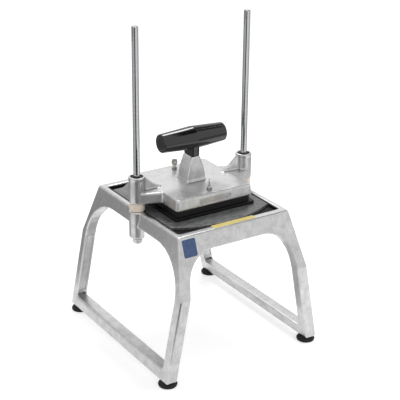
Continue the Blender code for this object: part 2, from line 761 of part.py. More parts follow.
def blade_slots(across, top_z):
    """One slot for each blade, through both walls and open below."""
    reach = OPENING_HALF + BLADE_SEAT + SEAT_GAP
    half = BLADE_THICKNESS / 2 + SEAT_GAP
    slots = []
    for place in blade_places():
        if across == "X":
            low, high = (-reach, place - half), (reach, place + half)
        else:
            low, high = (place - half, -reach), (place + half, reach)
        slots.append(box((*low, FRAME_BOTTOM_Z - BLADE_SEAT), (*high, top_z + SEAT_GAP)))
    return merge_bodies(slots)


def blade_places():
    return [-OPENING_HALF + PITCH * index for index in range(1, CELLS)]


def retainer_screw_places():
    """The corners of the blade frame's wall, by name."""
    corners = {}
    for end_name, end in ENDS.items():
        for side_name, side in SIDES.items():
            corners[f"{end_name}_{side_name}"] = (side * RETAINER_SCREW_PLACE, end * RETAINER_SCREW_PLACE)
    return corners


def build_blade_frame(surface):
    outline = deck_outline()
    frame = add_piece("blade_frame", loft([(DECK_Z, outline), (DECK_TOP_Z, outline)]), surface)
    wall = rectangle(FRAME_HALF, FRAME_HALF, DECK_CORNER_RADIUS / 2)
    join(frame, loft([(FRAME_BOTTOM_Z, wall), (DECK_Z + DECK_THICKNESS / 2, wall)]))
    window = rectangle(OPENING_HALF, OPENING_HALF, 0)
    cut(frame, loft([(FRAME_BOTTOM_Z - FRAME_WALL, window), (DECK_TOP_Z + FRAME_WALL, window)]))
    cut(frame, blade_slots("X", UPPER_BLADE_Z + BLADE_HEIGHT))
    cut(frame, blade_slots("Y", LOWER_BLADE_Z + BLADE_HEIGHT))
    low = FRAME_BOTTOM_Z - FRAME_WALL
    top = FRAME_BOTTOM_Z + RETAINER_SCREW_REACH + SEAT_GAP
    for place in retainer_screw_places().values():
        cut(frame, rod_shape(RETAINER_SCREW_RADIUS + SHAFT_GAP, low, top, SCREW_STEPS, place))


def blade_strip(across):
    """A thin strip with its upper edge ground to a knife edge."""
    half = BLADE_THICKNESS / 2
    shoulder = BLADE_HEIGHT - BLADE_EDGE_HEIGHT
    outline = [(-half, 0), (half, 0), (half, shoulder), (0, BLADE_HEIGHT), (-half, shoulder)]
    reach = OPENING_HALF + BLADE_SEAT
    return sweep(outline, across, -reach, reach)


def build_blades(surface):
    """Eight strips across the upper layer and eight along the lower one."""
    for index, offset in enumerate(blade_places(), start=1):
        place = (0, offset, UPPER_BLADE_Z)
        add_piece(f"blade_crosswise_{index}", blade_strip("X"), surface, place=place)
        place = (offset, 0, LOWER_BLADE_Z)
        add_piece(f"blade_lengthwise_{index}", blade_strip("Y"), surface, place=place)


def build_retainer(plastic, steel):
    outer = rectangle(FRAME_HALF, FRAME_HALF, DECK_CORNER_RADIUS / 2)
    top = RETAINER_Z + RETAINER_THICKNESS
    retainer = add_piece("blade_retainer", loft([(RETAINER_Z, outer), (top, outer)]), plastic)
    window = rectangle(OPENING_HALF, OPENING_HALF, 0)
    cut(retainer, loft([(RETAINER_Z - FRAME_WALL, window), (top + FRAME_WALL, window)]))
    head_top = RETAINER_Z - SEAT_GAP
    head_low = head_top - RETAINER_SCREW_HEAD_HEIGHT
    tip = FRAME_BOTTOM_Z + RETAINER_SCREW_REACH
    profile = [
        (0, head_low),
        (RETAINER_SCREW_HEAD_RADIUS - RETAINER_SCREW_HEAD_CHAMFER, head_low),
        (RETAINER_SCREW_HEAD_RADIUS, head_low + RETAINER_SCREW_HEAD_CHAMFER),
        (RETAINER_SCREW_HEAD_RADIUS, head_top),
        (RETAINER_SCREW_RADIUS, head_top),
        (RETAINER_SCREW_RADIUS, tip),
        (0, tip),
    ]
    for corner, place in retainer_screw_places().items():
        cut(retainer, rod_shape(RETAINER_SCREW_RADIUS + SHAFT_GAP, head_low, tip, SCREW_STEPS, place))
        add_piece(f"retainer_screw_{corner}", revolve(profile, SCREW_STEPS, place=place), steel)


def plate_body():
    """The head plate, drawn in slightly towards its rounded upper edge."""
    sections = [(0, rectangle(PLATE_HALF_WIDTH, PLATE_HALF_DEPTH, PLATE_CORNER_RADIUS))]
    steps = CORNER_STEPS + 1
    for step in range(steps + 1):
        angle = math.pi / 2 * step / steps
        inset = PLATE_DRAFT + PLATE_EDGE_RADIUS * (1 - math.cos(angle))
        height = PLATE_TOP - PLATE_EDGE_RADIUS * (1 - math.sin(angle))
        radius = max(PLATE_CORNER_RADIUS - inset / 2, PLATE_CORNER_RADIUS / 4)
        outline = rectangle(PLATE_HALF_WIDTH - inset, PLATE_HALF_DEPTH - inset, radius)
        sections.append((height, outline))
    return loft(sections)


def arm_body(side):
    """An arm that narrows from the plate until it runs into the round boss."""
    root = (PLATE_HALF_WIDTH, ARM_HALF_WIDTH)
    away = Vector((ROD_X - root[0], -root[1]))
    reach = HEAD_BOSS_RADIUS - CAST_EDGE_RADIUS / 4
    slope = math.atan2(away.y, away.x) + math.asin(reach / away.length)
    touch = (ROD_X - reach * math.sin(slope), reach * math.cos(slope))
    inner = PLATE_HALF_WIDTH - PLATE_RIM_WALL
    corners = [
        (inner, -ARM_HALF_WIDTH),
        (root[0], -ARM_HALF_WIDTH),
        (touch[0], -touch[1]),
        (ROD_X, 0),
        touch,
        root,
        (inner, ARM_HALF_WIDTH),
    ]
    outline = [(side * x, y) for x, y in corners]
    bm = sweep(outline, "Z", 0, ARM_TOP)
    rim = [edge for edge in bm.edges if all(vert.co.z > ARM_TOP / 2 for vert in edge.verts)]
    bmesh.ops.bevel(bm, geom=rim, offset=ARM_EDGE_RADIUS, segments=2, profile=0.5, affect="EDGES")
    return bm


def gusset_body(side):
    """The web from the boss down to the plate, on the middle line."""
    inner = ROD_X - HEAD_BOSS_RADIUS
    crest = HEAD_BOSS_TOP - GUSSET_TOP_DROP
    sag_x = (inner + GUSSET_TOE) / 2 + GUSSET_SAG
    sag_z = (crest + PLATE_TOP) / 2 - GUSSET_SAG
    outline = [
        (side * (GUSSET_TOE - GUSSET_THICKNESS), PLATE_TOP - PLATE_THICKNESS / 2),
        (side * ROD_X, ARM_TOP - ARM_EDGE_RADIUS * 2),
        (side * ROD_X, crest - GUSSET_THICKNESS / 2),
        (side * inner, crest),
        (side * sag_x, sag_z),
        (side * GUSSET_TOE, PLATE_TOP),
    ]
    return sweep(outline, "Y", -GUSSET_THICKNESS / 2, GUSSET_THICKNESS / 2)


def head_boss_profile():
    """A round boss with a thicker rim around its mouth."""
    soft = HEAD_BOSS_CHAMFER
    rim_low = HEAD_BOSS_TOP - HEAD_BOSS_RIM_HEIGHT
    return [
        (0, 0),
        (HEAD_BOSS_RADIUS - soft, 0),
        (HEAD_BOSS_RADIUS, soft),
        (HEAD_BOSS_RADIUS, rim_low - soft),
        (HEAD_BOSS_RIM_RADIUS, rim_low),
        (HEAD_BOSS_RIM_RADIUS, HEAD_BOSS_TOP - soft),
        (HEAD_BOSS_RIM_RADIUS - soft, HEAD_BOSS_TOP),
        (0, HEAD_BOSS_TOP),
    ]


def pedestal_body():
    """A post that swells outwards down to its foot, more in width than in depth."""
    sections = []
    base = PLATE_TOP + PLINTH_HEIGHT / 2
    for step in range(PEDESTAL_STEPS + 1):
        share = step / PEDESTAL_STEPS
        drawn = share ** PEDESTAL_FLARE
        half_width = PEDESTAL_BASE_HALF_WIDTH + (PEDESTAL_TOP_HALF_WIDTH - PEDESTAL_BASE_HALF_WIDTH) * drawn
        half_depth = PEDESTAL_BASE_HALF_DEPTH + (PEDESTAL_TOP_HALF_DEPTH - PEDESTAL_BASE_HALF_DEPTH) * drawn
        outline = rectangle(half_width, half_depth, PEDESTAL_CORNER_RADIUS)
        sections.append((base + (PEDESTAL_TOP - base) * share, outline))
    return loft(sections)


def plinth_body():
    low = PLATE_TOP - PLATE_THICKNESS / 2
    high = PLATE_TOP + PLINTH_HEIGHT
    soft = PLINTH_CHAMFER
    full = rectangle(PLINTH_HALF_WIDTH, PLINTH_HALF_DEPTH, PEDESTAL_CORNER_RADIUS)
    inner_radius = PEDESTAL_CORNER_RADIUS - soft / 2
    drawn = rectangle(PLINTH_HALF_WIDTH - soft, PLINTH_HALF_DEPTH - soft, inner_radius)
    return loft([(low, full), (high - soft, full), (high, drawn)])


def build_head(carriage, surface):
    head = add_piece("head_casting", plate_body(), surface, parent=carriage)
    for side in SIDES.values():
        join(head, arm_body(side))
        join(head, revolve(head_boss_profile(), place=(side * ROD_X, 0)))
        join(head, gusset_body(side))
    join(head, plinth_body())
    join(head, pedestal_body())
    ceiling = PLATE_TOP - PLATE_THICKNESS
    pocket_x = PLATE_HALF_WIDTH - PLATE_RIM_WALL
    pocket_y = PLATE_HALF_DEPTH - PLATE_RIM_WALL
    pocket = rectangle(pocket_x, pocket_y, PLATE_CORNER_RADIUS)
    cut(head, loft([(-PLATE_THICKNESS, pocket), (ceiling, pocket)]))
    for end in ENDS.values():
        place = (0, end * THUMB_OFFSET)
        low = SPIGOT_HEIGHT + SEAT_GAP
        high = PLATE_TOP + PLATE_THICKNESS
        join(head, rod_shape(THUMB_BOSS_RADIUS, low, ceiling + PLATE_THICKNESS / 2, place=place))
        cut(head, rod_shape(THUMB_SHANK_RADIUS + SHAFT_GAP, -PLATE_THICKNESS, high, place=place))
    for side in SIDES.values():
        place = (side * ROD_X, 0)
        floor = HEAD_BOSS_TOP - COUNTERBORE_DEPTH
        bore = [
            (0, -PLATE_THICKNESS),
            (BUSHING_BORE_RADIUS, -PLATE_THICKNESS),
            (BUSHING_BORE_RADIUS, floor),
            (COUNTERBORE_RADIUS, floor),
            (COUNTERBORE_RADIUS, HEAD_BOSS_TOP + PLATE_THICKNESS),
            (0, HEAD_BOSS_TOP + PLATE_THICKNESS),
        ]
        cut(head, revolve(bore, place=place))
    stud_floor = PEDESTAL_TOP - STUD_IN_PEDESTAL - SEAT_GAP
    cut(head, rod_shape(STUD_RADIUS + SHAFT_GAP, stud_floor, PEDESTAL_TOP + PLATE_THICKNESS))
    middle = PLATE_TOP / 2 - PLATE_DRAFT / 4
    front = -PLATE_HALF_DEPTH + PLATE_DRAFT / 2
    low = (-NAME_RECESS_HALF_WIDTH, front - PLATE_THICKNESS, middle - NAME_RECESS_HEIGHT / 2)
    high = (NAME_RECESS_HALF_WIDTH, front + NAME_RECESS_DEPTH, middle + NAME_RECESS_HEIGHT / 2)
    cut(head, box(low, high))
    return head


def build_bushings(carriage, surface):
    """A flanged bushing in each counterbore and a plain one at the foot of each boss."""
    bore = ROD_RADIUS + SHAFT_GAP
    seat = HEAD_BOSS_TOP - COUNTERBORE_DEPTH + SEAT_GAP
    low = seat - BUSHING_LENGTH
    flange_top = seat + BUSHING_FLANGE_THICKNESS
    upper = [
        (bore, low),
        (BUSHING_RADIUS, low),
        (BUSHING_RADIUS, seat),
        (BUSHING_FLANGE_RADIUS, seat),
        (BUSHING_FLANGE_RADIUS, flange_top),
        (bore, flange_top),
    ]
    foot = SEAT_GAP
    lower = [
        (bore, foot),
        (BUSHING_RADIUS, foot),
        (BUSHING_RADIUS, foot + BUSHING_LENGTH),
        (bore, foot + BUSHING_LENGTH),
    ]
    for name, side in SIDES.items():
        place = (side * ROD_X, 0, 0)
        for level, profile in (("upper", upper), ("lower", lower)):
            bushing = revolve(profile, MIDDLE_ROUND_STEPS, bored=True)
            add_piece(f"{level}_bushing_{name}", bushing, surface, carriage, place)


def barrel_body():
    """The grip's barrel: two gentle cones that meet in the middle, dished at the ends."""
    half = []
    steps = CORNER_STEPS
    for step in range(steps + 1):
        angle = math.pi / 2 * step / steps
        radius = GRIP_END_RADIUS - GRIP_END_ROUNDING * (1 - math.sin(angle))
        along = GRIP_HALF_LENGTH - GRIP_END_ROUNDING * (1 - math.cos(angle))
        half.append((radius, along))
    dish_floor = GRIP_HALF_LENGTH - GRIP_DISH_DEPTH
    dish_wall = (GRIP_DISH_RADIUS - GRIP_DISH_DEPTH, dish_floor)
    dish = [(0, dish_floor), dish_wall, (GRIP_DISH_RADIUS, GRIP_HALF_LENGTH)]
    crown = GRIP_MIDDLE_RADIUS - GRIP_DISH_DEPTH / 4
    near_middle = GRIP_END_ROUNDING
    half = dish + half + [(crown, near_middle)]
    profile = half + [(GRIP_MIDDLE_RADIUS, 0)] + [(radius, -along) for radius, along in reversed(half)]
    bm = revolve(profile)
    bmesh.ops.rotate(bm, verts=bm.verts, cent=(0, 0, 0), matrix=Matrix.Rotation(math.pi / 2, 3, "Y"))
    bmesh.ops.translate(bm, verts=bm.verts, vec=(0, 0, PEDESTAL_TOP + GRIP_AXIS_RISE))
    return bm


def build_grip(carriage, plastic, steel):
    grip = add_piece("grip", barrel_body(), plastic, parent=carriage)
    low = PEDESTAL_TOP + SEAT_GAP
    axis = PEDESTAL_TOP + GRIP_AXIS_RISE
    soft = NECK_CHAMFER
    foot = rectangle(NECK_HALF_WIDTH - soft, NECK_HALF_DEPTH - soft, NECK_CORNER_RADIUS - soft)
    full = rectangle(NECK_HALF_WIDTH, NECK_HALF_DEPTH, NECK_CORNER_RADIUS)
    join(grip, loft([(low, foot), (low + soft, full), (axis, full)]))
    stud_top = PEDESTAL_TOP + STUD_IN_GRIP
    cut(grip, rod_shape(STUD_RADIUS + SHAFT_GAP, low - STUD_RADIUS, stud_top + SEAT_GAP))
    stud_low = PEDESTAL_TOP - STUD_IN_PEDESTAL
    soft = STUD_CHAMFER
    profile = [
        (0, stud_low),
        (STUD_RADIUS - soft, stud_low),
        (STUD_RADIUS, stud_low + soft),
        (STUD_RADIUS, stud_top - soft),
        (STUD_RADIUS - soft, stud_top),
        (0, stud_top),
    ]
    add_piece("grip_stud", revolve(profile, SMALL_ROUND_STEPS), steel, carriage)


def peg_comb():
    """A slab with one tapered square peg for each cell between the blades."""
    peg_half = PITCH / 2 - BLADE_THICKNESS / 2 - PEG_CLEARANCE
    slab_top = BLOCK_BOTTOM + BLOCK_FLANGE_THICKNESS / 2
    bm = bmesh.new()
    bmesh.ops.create_grid(bm, x_segments=CELLS, y_segments=CELLS, size=OPENING_HALF)
    bmesh.ops.translate(bm, verts=bm.verts, vec=(0, 0, slab_top))
    top = bm.faces[:]
    slab = bmesh.ops.extrude_face_region(bm, geom=top)
    moved = [item for item in slab["geom"] if isinstance(item, bmesh.types.BMVert)]
    bmesh.ops.translate(bm, verts=moved, vec=(0, 0, BLOCK_FLANGE_THICKNESS / 4 - slab_top + BLOCK_BOTTOM))
    cells = [item for item in slab["geom"] if isinstance(item, bmesh.types.BMFace)]
    bmesh.ops.inset_individual(bm, faces=cells, thickness=PITCH / 2 - peg_half)
    pegs = bmesh.ops.extrude_discrete_faces(bm, faces=cells)["faces"]
    tip_z = BLOCK_BOTTOM - PEG_LENGTH
    for tip in pegs:
        centre = tip.calc_center_median()
        for vert in tip.verts:
            toward = (centre - vert.co).normalized() * PEG_DRAFT
            vert.co = (vert.co.x + toward.x, vert.co.y + toward.y, tip_z)
    return bm


def build_pusher(carriage, plastic, steel):
    wide_x = BLOCK_HALF_WIDTH + BLOCK_FLANGE_OUTSET
    wide_y = BLOCK_HALF_DEPTH + BLOCK_FLANGE_OUTSET
    flange = rectangle(wide_x, wide_y, BLOCK_CORNER_RADIUS)
    upper = rectangle(BLOCK_HALF_WIDTH, BLOCK_HALF_DEPTH, BLOCK_CORNER_RADIUS)
    spigot_x = PLATE_HALF_WIDTH - PLATE_RIM_WALL - SEAT_GAP
    spigot_y = PLATE_HALF_DEPTH - PLATE_RIM_WALL - SEAT_GAP
    spigot = rectangle(spigot_x, spigot_y, PLATE_CORNER_RADIUS)
    flange_top = BLOCK_BOTTOM + BLOCK_FLANGE_THICKNESS
    sections = [
        (BLOCK_BOTTOM, flange),
        (flange_top, flange),
        (flange_top, upper),
        (-SEAT_GAP, upper),
        (-SEAT_GAP, spigot),
        (SPIGOT_HEIGHT, spigot),
    ]
    block = add_piece("pusher_block", loft(sections), plastic, parent=carriage)
    join(block, peg_comb())
    top = SPIGOT_HEIGHT
    bore = THUMB_SHANK_RADIUS + SHAFT_GAP
    for name, end in ENDS.items():
        place = (0, end * THUMB_OFFSET)
        low = top - INSERT_LENGTH
        high = top + PLATE_THICKNESS
        cut(block, rod_shape(INSERT_RADIUS + SEAT_GAP, low - SEAT_GAP, high, place=place))
        ring = [(bore, low), (INSERT_RADIUS, low), (INSERT_RADIUS, top), (bore, top)]
        insert = revolve(ring, SMALL_ROUND_STEPS, bored=True, place=place)
        add_piece(f"block_insert_{name}", insert, steel, carriage)


def paddle_outline():
    """The thumb piece: a spade with a broad rounded head over a narrow root."""
    half = THUMB_PADDLE_WIDTH / 2
    root = THUMB_ROOT_WIDTH / 2
    crown = THUMB_PADDLE_TOP_WIDTH / 2
    low = paddle_foot()
    shoulder = low + THUMB_SHOULDER_HEIGHT
    high = low + THUMB_PADDLE_HEIGHT
    corners = [
        (-root, low - THUMB_NECK_HEIGHT / 2),
        (root, low - THUMB_NECK_HEIGHT / 2),
        (half, shoulder),
        (crown, high),
        (-crown, high),
        (-half, shoulder),
    ]
    soft = THUMB_CORNER_RADIUS
    return rounded(corners, [0, 0, soft, soft, soft, soft], CORNER_STEPS)


def paddle_foot():
    """The height where a screw's neck ends and its paddle starts."""
    return WASHER_THICKNESS + THUMB_COLLAR_HEIGHT + THUMB_NECK_HEIGHT + SEAT_GAP * 2


def build_thumb_screws(carriage, steel):
    """Spade-headed screws that hold the pusher block, each with a captive washer."""
    washer_low = SEAT_GAP
    collar_low = washer_low + WASHER_THICKNESS + SEAT_GAP
    collar_top = collar_low + THUMB_COLLAR_HEIGHT
    tip = SPIGOT_HEIGHT - THUMB_REACH_IN_INSERT - PLATE_TOP
    soft = THUMB_CHAMFER
    profile = [
        (0, tip),
        (THUMB_SHANK_RADIUS - soft, tip),
        (THUMB_SHANK_RADIUS, tip + soft),
        (THUMB_SHANK_RADIUS, collar_low),
        (THUMB_COLLAR_RADIUS, collar_low),
        (THUMB_COLLAR_RADIUS, collar_top - soft),
        (THUMB_COLLAR_RADIUS - soft, collar_top),
        (THUMB_NECK_RADIUS, collar_top),
        (THUMB_NECK_RADIUS - THUMB_NECK_TAPER, paddle_foot()),
        (0, paddle_foot()),
    ]
    bore = THUMB_SHANK_RADIUS + SHAFT_GAP
    ring = [
        (bore, washer_low),
        (WASHER_RADIUS, washer_low),
        (WASHER_RADIUS, washer_low + WASHER_THICKNESS),
        (bore, washer_low + WASHER_THICKNESS),
    ]
    half = THUMB_PADDLE_THICKNESS / 2
    turns = {"front": FRONT_PADDLE_TURN, "rear": REAR_PADDLE_TURN}
    for name, end in ENDS.items():
        place = (0, end * THUMB_OFFSET, PLATE_TOP)
        axis = add_empty(f"{name}_screw_axis", place)
        axis.parent = carriage
        screw = add_piece(f"thumb_screw_{name}", revolve(profile, SMALL_ROUND_STEPS), steel, axis)
        join(screw, sweep(paddle_outline(), "Y", -half, half))
        for face in (-1, 1):
            cut_dish(screw, face)
        screw.rotation_euler = (0, 0, turns[name])
        add_piece(f"screw_washer_{name}", revolve(ring, SMALL_ROUND_STEPS, bored=True), steel, axis)


def cut_dish(screw, face):
    """A shallow thumb dish in one face of the paddle."""
    spread = THUMB_DISH_RADIUS
    middle = paddle_foot() + THUMB_DISH_HEIGHT
    radius = (spread ** 2 + THUMB_DISH_DEPTH ** 2) / (2 * THUMB_DISH_DEPTH)
    span = math.asin(spread / radius)
    profile = []
    for step in range(DISH_STEPS + 1):
        angle = span * step / DISH_STEPS
        profile.append((radius * math.sin(angle), radius * math.cos(angle)))
    profile.append((spread, radius * math.cos(span) - THUMB_PADDLE_THICKNESS))
    profile.append((0, radius * math.cos(span) - THUMB_PADDLE_THICKNESS))
    bm = revolve(profile, SCREW_STEPS)
    turn = Matrix.Rotation(face * math.pi / 2, 3, "X")
    bmesh.ops.rotate(bm, verts=bm.verts, cent=(0, 0, 0), matrix=turn)
    surface_y = face * (THUMB_PADDLE_THICKNESS / 2 - THUMB_DISH_DEPTH + radius)
    bmesh.ops.translate(bm, verts=bm.verts, vec=(0, surface_y, middle))
    cut(screw, bm)


def build():
    clear_scene()
    cast = finish("cast_aluminium", (0.62, 0.62, 0.61), 0.42, 1.0)
    bright = finish("ground_steel", (0.60, 0.61, 0.62), 0.18, 1.0)
    blade_steel = finish("blade_steel", (0.70, 0.71, 0.72), 0.22, 1.0)
    small_steel = finish("plated_steel", (0.52, 0.53, 0.54), 0.30, 1.0)
    deck_grey = finish("blade_frame_grey", (0.16, 0.16, 0.16), 0.50)
    tray_black = finish("tray_black", (0.015, 0.015, 0.015), 0.40)
    block_black = finish("block_black", (0.010, 0.010, 0.010), 0.50)
    grip_black = finish("grip_black", (0.008, 0.008, 0.008), 0.12)
    foot_rubber = finish("foot_rubber", (0.012, 0.012, 0.012), 0.70)
    bumper_rubber = finish("bumper_rubber", (0.72, 0.56, 0.44), 0.60)
    bushing_dark = finish("bushing_plastic", (0.03, 0.03, 0.03), 0.45)

    build_stand(cast)
    build_feet(foot_rubber, small_steel)
    build_rods(bright)
    build_bumpers(bumper_rubber)
    build_tray(tray_black)
    build_blade_frame(deck_grey)
    build_blades(blade_steel)
    build_retainer(tray_black, small_steel)

    carriage = add_empty("head_slide_axis", (0, 0, HEAD_Z))
    build_head(carriage, cast)
    build_bushings(carriage, bushing_dark)
    build_grip(carriage, grip_black, small_steel)
    build_pusher(carriage, block_black, small_steel)
    build_thumb_screws(carriage, small_steel)
    bpy.context.view_layer.update()


build()
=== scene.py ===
"""The looks of a hand-worked table-top vegetable slicer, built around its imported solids.

A cast stand with a blade frame, two ground rods, and a cast head with a black T-grip that
slides on them. Metres, +Z up, the floor at z = 0 and the front towards -Y.
"""

import json
import math

import bmesh
import bpy
from mathutils import Matrix, Vector


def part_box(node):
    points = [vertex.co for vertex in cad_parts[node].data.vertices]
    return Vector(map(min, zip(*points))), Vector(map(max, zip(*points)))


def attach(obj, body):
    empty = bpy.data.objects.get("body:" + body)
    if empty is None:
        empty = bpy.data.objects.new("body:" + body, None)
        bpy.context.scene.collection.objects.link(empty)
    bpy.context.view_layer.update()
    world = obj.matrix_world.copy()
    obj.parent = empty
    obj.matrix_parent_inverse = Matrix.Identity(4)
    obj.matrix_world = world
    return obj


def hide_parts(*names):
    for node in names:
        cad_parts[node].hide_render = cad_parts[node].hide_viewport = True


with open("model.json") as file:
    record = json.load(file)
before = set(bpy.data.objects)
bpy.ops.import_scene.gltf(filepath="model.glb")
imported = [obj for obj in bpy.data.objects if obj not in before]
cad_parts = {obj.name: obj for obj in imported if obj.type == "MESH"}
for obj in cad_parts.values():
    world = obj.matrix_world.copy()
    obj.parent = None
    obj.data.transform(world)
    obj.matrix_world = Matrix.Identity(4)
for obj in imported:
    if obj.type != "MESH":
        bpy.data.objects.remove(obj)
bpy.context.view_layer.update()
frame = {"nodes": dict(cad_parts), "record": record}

# Lengths are in metres unless a comment says otherwise. A name that ends in ROUNDINGS gives the
# radius at each corner of an outline, in the outline's order.

# The photograph's view, fitted to 40 of its points. The lens and the sensor are in millimetres.
CAMERA_PLACE = (-0.83506, -1.29847, 0.85917)
CAMERA_RIGHT = (0.83880, -0.54435, 0.00997)
CAMERA_UP = (0.20386, 0.33100, 0.92136)
CAMERA_LENS = 101.65
SENSOR_WIDTH = 36.0

# Mesh fineness
ROUND_STEPS = 96
SMALL_ROUND_STEPS = 40
CORNER_STEPS = 5
SHARP_ANGLE = math.radians(38)
FLAT_ANGLE = math.radians(0.05)
JOIN_DISTANCE = 1e-6
SKIN_FACTOR = 0.5
CUT_OVERRUN = 0.001

SIDES = {"left": -1, "right": 1}
ENDS = {"front": -1, "rear": 1}
CORNERS = [f"{end}_{side}" for end in ENDS for side in SIDES]

# Stand casting
STAND_VOXEL = 0.00100
STAND_SKIN_ROUNDS = 6
STAND_TOP_Z = 0.2126
STAND_BASE_Z = 0.0080
TOP_HALF_WIDTH = 0.0939
BASE_HALF_WIDTH = 0.1325
TOP_HALF_DEPTH = 0.1141
KNEE_HALF_DEPTH = 0.1442
KNEE_Z = 0.1308

# Recesses in the legs, and pockets at the foot of the rear ones
LEG_WIDTH = 0.0180
FRONT_LEG_INNER_Y = 0.1283
REAR_LEG_INNER_Y = 0.1310
LEG_RECESS_LOW = 0.0333
LEG_RECESS_HIGH = 0.1245
LEG_RECESS_WIDTH = 0.0112
LEG_RECESS_DEPTH = 0.0009
LEG_RECESS_OVERRUN = 0.003
LEG_RECESS_VOXEL = 0.0007
POCKET_LOW = 0.0258
POCKET_HEIGHT = 0.0026
POCKET_WIDTH = 0.0128
POCKET_DEPTH = 0.0042
POCKET_OVERRUN = 0.006
POCKET_VOXEL = 0.0005

# Head casting
HEAD_VOXEL = 0.00085
HEAD_SKIN_ROUNDS = 6
HEAD_Z = 0.2255
PLATE_HALF_WIDTH = 0.0649
PLATE_HALF_DEPTH = 0.0642
PLATE_TOP_Z = 0.2424
PLATE_DRAFT = 0.0014
ARM_HALF_WIDTH = 0.0230
ARM_TAPER = 0.36

# Webs between the plate and the arms. Start and root are depths inside the plate and the arm.
WEB_REACH = 0.0042
WEB_LOW = 0.0006
WEB_HIGH = 0.0150
WEB_START = (0.0008, 0.0004)
WEB_ROOT = (0.002, 0.003)

# Bare name place
NAME_PLACE_HALF_WIDTH = 0.0270
NAME_PLACE_HEIGHT = 0.0070
NAME_PLACE_DEPTH = 0.0010
NAME_PLACE_Z = 0.2336
NAME_PLACE_FLAT_END = 0.0003
NAME_PLACE_OVERRUN = 0.004
NAME_PLACE_VOXEL = 0.0004
FILLING_MARGIN = 0.0004
FILLING_DEPTH = 0.003

# Counterbores and bushings
HEAD_BOSS_TOP_Z = 0.2657
COUNTERBORE_RADIUS = 0.0093
COUNTERBORE_DEPTH = 0.0045
BUSHING_BORE_RADIUS = 0.0073
BORE_OVERRUN = 0.005
BUSHING_RADIUS = 0.0070
BUSHING_FLANGE = 0.0014
BUSHING_ROUNDINGS = (0.0004, 0.0003, 0.0003, 0.0005)
FLANGE_ROUNDINGS = (0.0004, 0, 0.0001)

# Rods and bumpers
ROD_X = 0.0927
ROD_RADIUS = 0.0047625
ROD_BEVEL = 0.0009
ROD_FLAT_LENGTH = 0.0220
ROD_ACROSS_FLATS = 0.0079
ROD_CLEARANCE = 0.0003
BUMPER_PRESS = 0.0001
BUMPER_BELLY = 0.0003
BUMPER_ROUNDINGS = (0.0003, 0.0016, 0.0030, 0.0016, 0.0003)

# Grip
GRIP_AXIS_Z = 0.3065
GRIP_HALF_LENGTH = 0.0534
GRIP_MIDDLE_RADIUS = 0.0171
GRIP_END_RADIUS = 0.0138
GRIP_RIDGE_DROP = 0.0001
GRIP_RIDGE_HALF_WIDTH = 0.0010
GRIP_DISH_RADIUS = 0.0104
GRIP_DISH_DEPTH = 0.0012
GRIP_ROUNDINGS = (0, 0.0010, 0.0005, 0.0024, 0)
NECK_HALF_WIDTH = 0.0062
NECK_HALF_DEPTH = 0.0125
NECK_CORNER = 0.0028
NECK_FOOT_CORNER = 0.0022
NECK_BEVEL = 0.0007

# Feet
FOOT_SOLE_INSET = 0.0010
FOOT_BELLY_Z = 0.0030
FOOT_WAIST_INSET = 0.0019
FOOT_WAIST_Z = 0.0057
FOOT_NECK_INSET = 0.0048
FOOT_BORE_RADIUS = 0.0024
FOOT_RECESS_RADIUS = 0.0056
FOOT_RECESS_DEPTH = 0.0042
FOOT_ROUNDINGS = (0.0003, 0.0012, 0.0016, 0.0010, 0.0002, 0, 0, 0.0004)

# Pan-head screws: the height of the head and the radius of the shank, then shares of these
FOOT_SCREW = (0.0026, 0.0021)
RETAINER_SCREW = (0.0015, 0.0013)
PAN_FACE = 0.86
PAN_FACE_ROUNDING = 0.25
PAN_SHOULDER = 0.5
PAN_SHOULDER_ROUNDING = 0.2
PAN_EDGE_ROUNDING = 0.1
SHANK_END_ROUNDING = 0.3
CROSS_LENGTH = 0.52
CROSS_WIDTH = 0.13
CROSS_DEPTH = 0.6

# Mouldings: only edges outside these rims and on these levels are rounded
DECK_RIM = 0.0550
BLOCK_RIM = 0.0560
PEG_LENGTH = 0.0196
LEVEL_PLAY = 0.0001

# Thumb screws and washers
THUMB_OFFSET = 0.0475
THUMB_TURNS = {"front": math.radians(56.8), "rear": math.radians(-26.0)}
THUMB_SHANK_RADIUS = 0.0025
THUMB_COLLAR_RADIUS = 0.0037
THUMB_COLLAR_LOW = 0.0017
THUMB_COLLAR_HIGH = 0.0037
THUMB_STEM_RADIUS = 0.0026
THUMB_STEM_TOP_RADIUS = 0.0021
THUMB_ROUNDINGS = (0, 0.0005, 0, 0.0003, 0.0005, 0.0003, 0, 0)
THUMB_VOXEL = 0.00022
THUMB_SKIN_ROUNDS = 2
WASHER_BORE_RADIUS = 0.0028
WASHER_RADIUS = 0.0042
WASHER_ROUNDINGS = (0.0001, 0.0002, 0.0003, 0.0002)
SPADE_FOOT = 0.0059
SPADE_SUNK = 0.0012
SPADE_SHOULDER = 0.0034
SPADE_REACH = 0.0098
SPADE_ROOT_HALF_WIDTH = 0.0024
SPADE_HALF_WIDTH = 0.0046
SPADE_CROWN_HALF_WIDTH = 0.0039
SPADE_HALF_THICKNESS = 0.0011
SPADE_FLAT_HALF_THICKNESS = 0.0007
SPADE_RIM = 0.0005
SPADE_ROUNDINGS = (0, 0, 0.0024, 0.0030, 0.0030, 0.0024)
DISH_HEIGHT = 0.0057
DISH_DEPTH = 0.0005
DISH_BALL = 0.0109

# Bare labels
LABEL_HALF_THICKNESS = 0.0002
STRIP_MIDDLE = (0.0021, -0.1071)
STRIP_HALF_LENGTH = 0.0354
STRIP_HALF_WIDTH = 0.0047
STRIP_CORNER = 0.0008
PATCH_X = -0.0790
PATCH_Z = 0.1969
PATCH_HALF_WIDTH = 0.0107
PATCH_HALF_HEIGHT = 0.0119
PATCH_CORNER = 0.0026

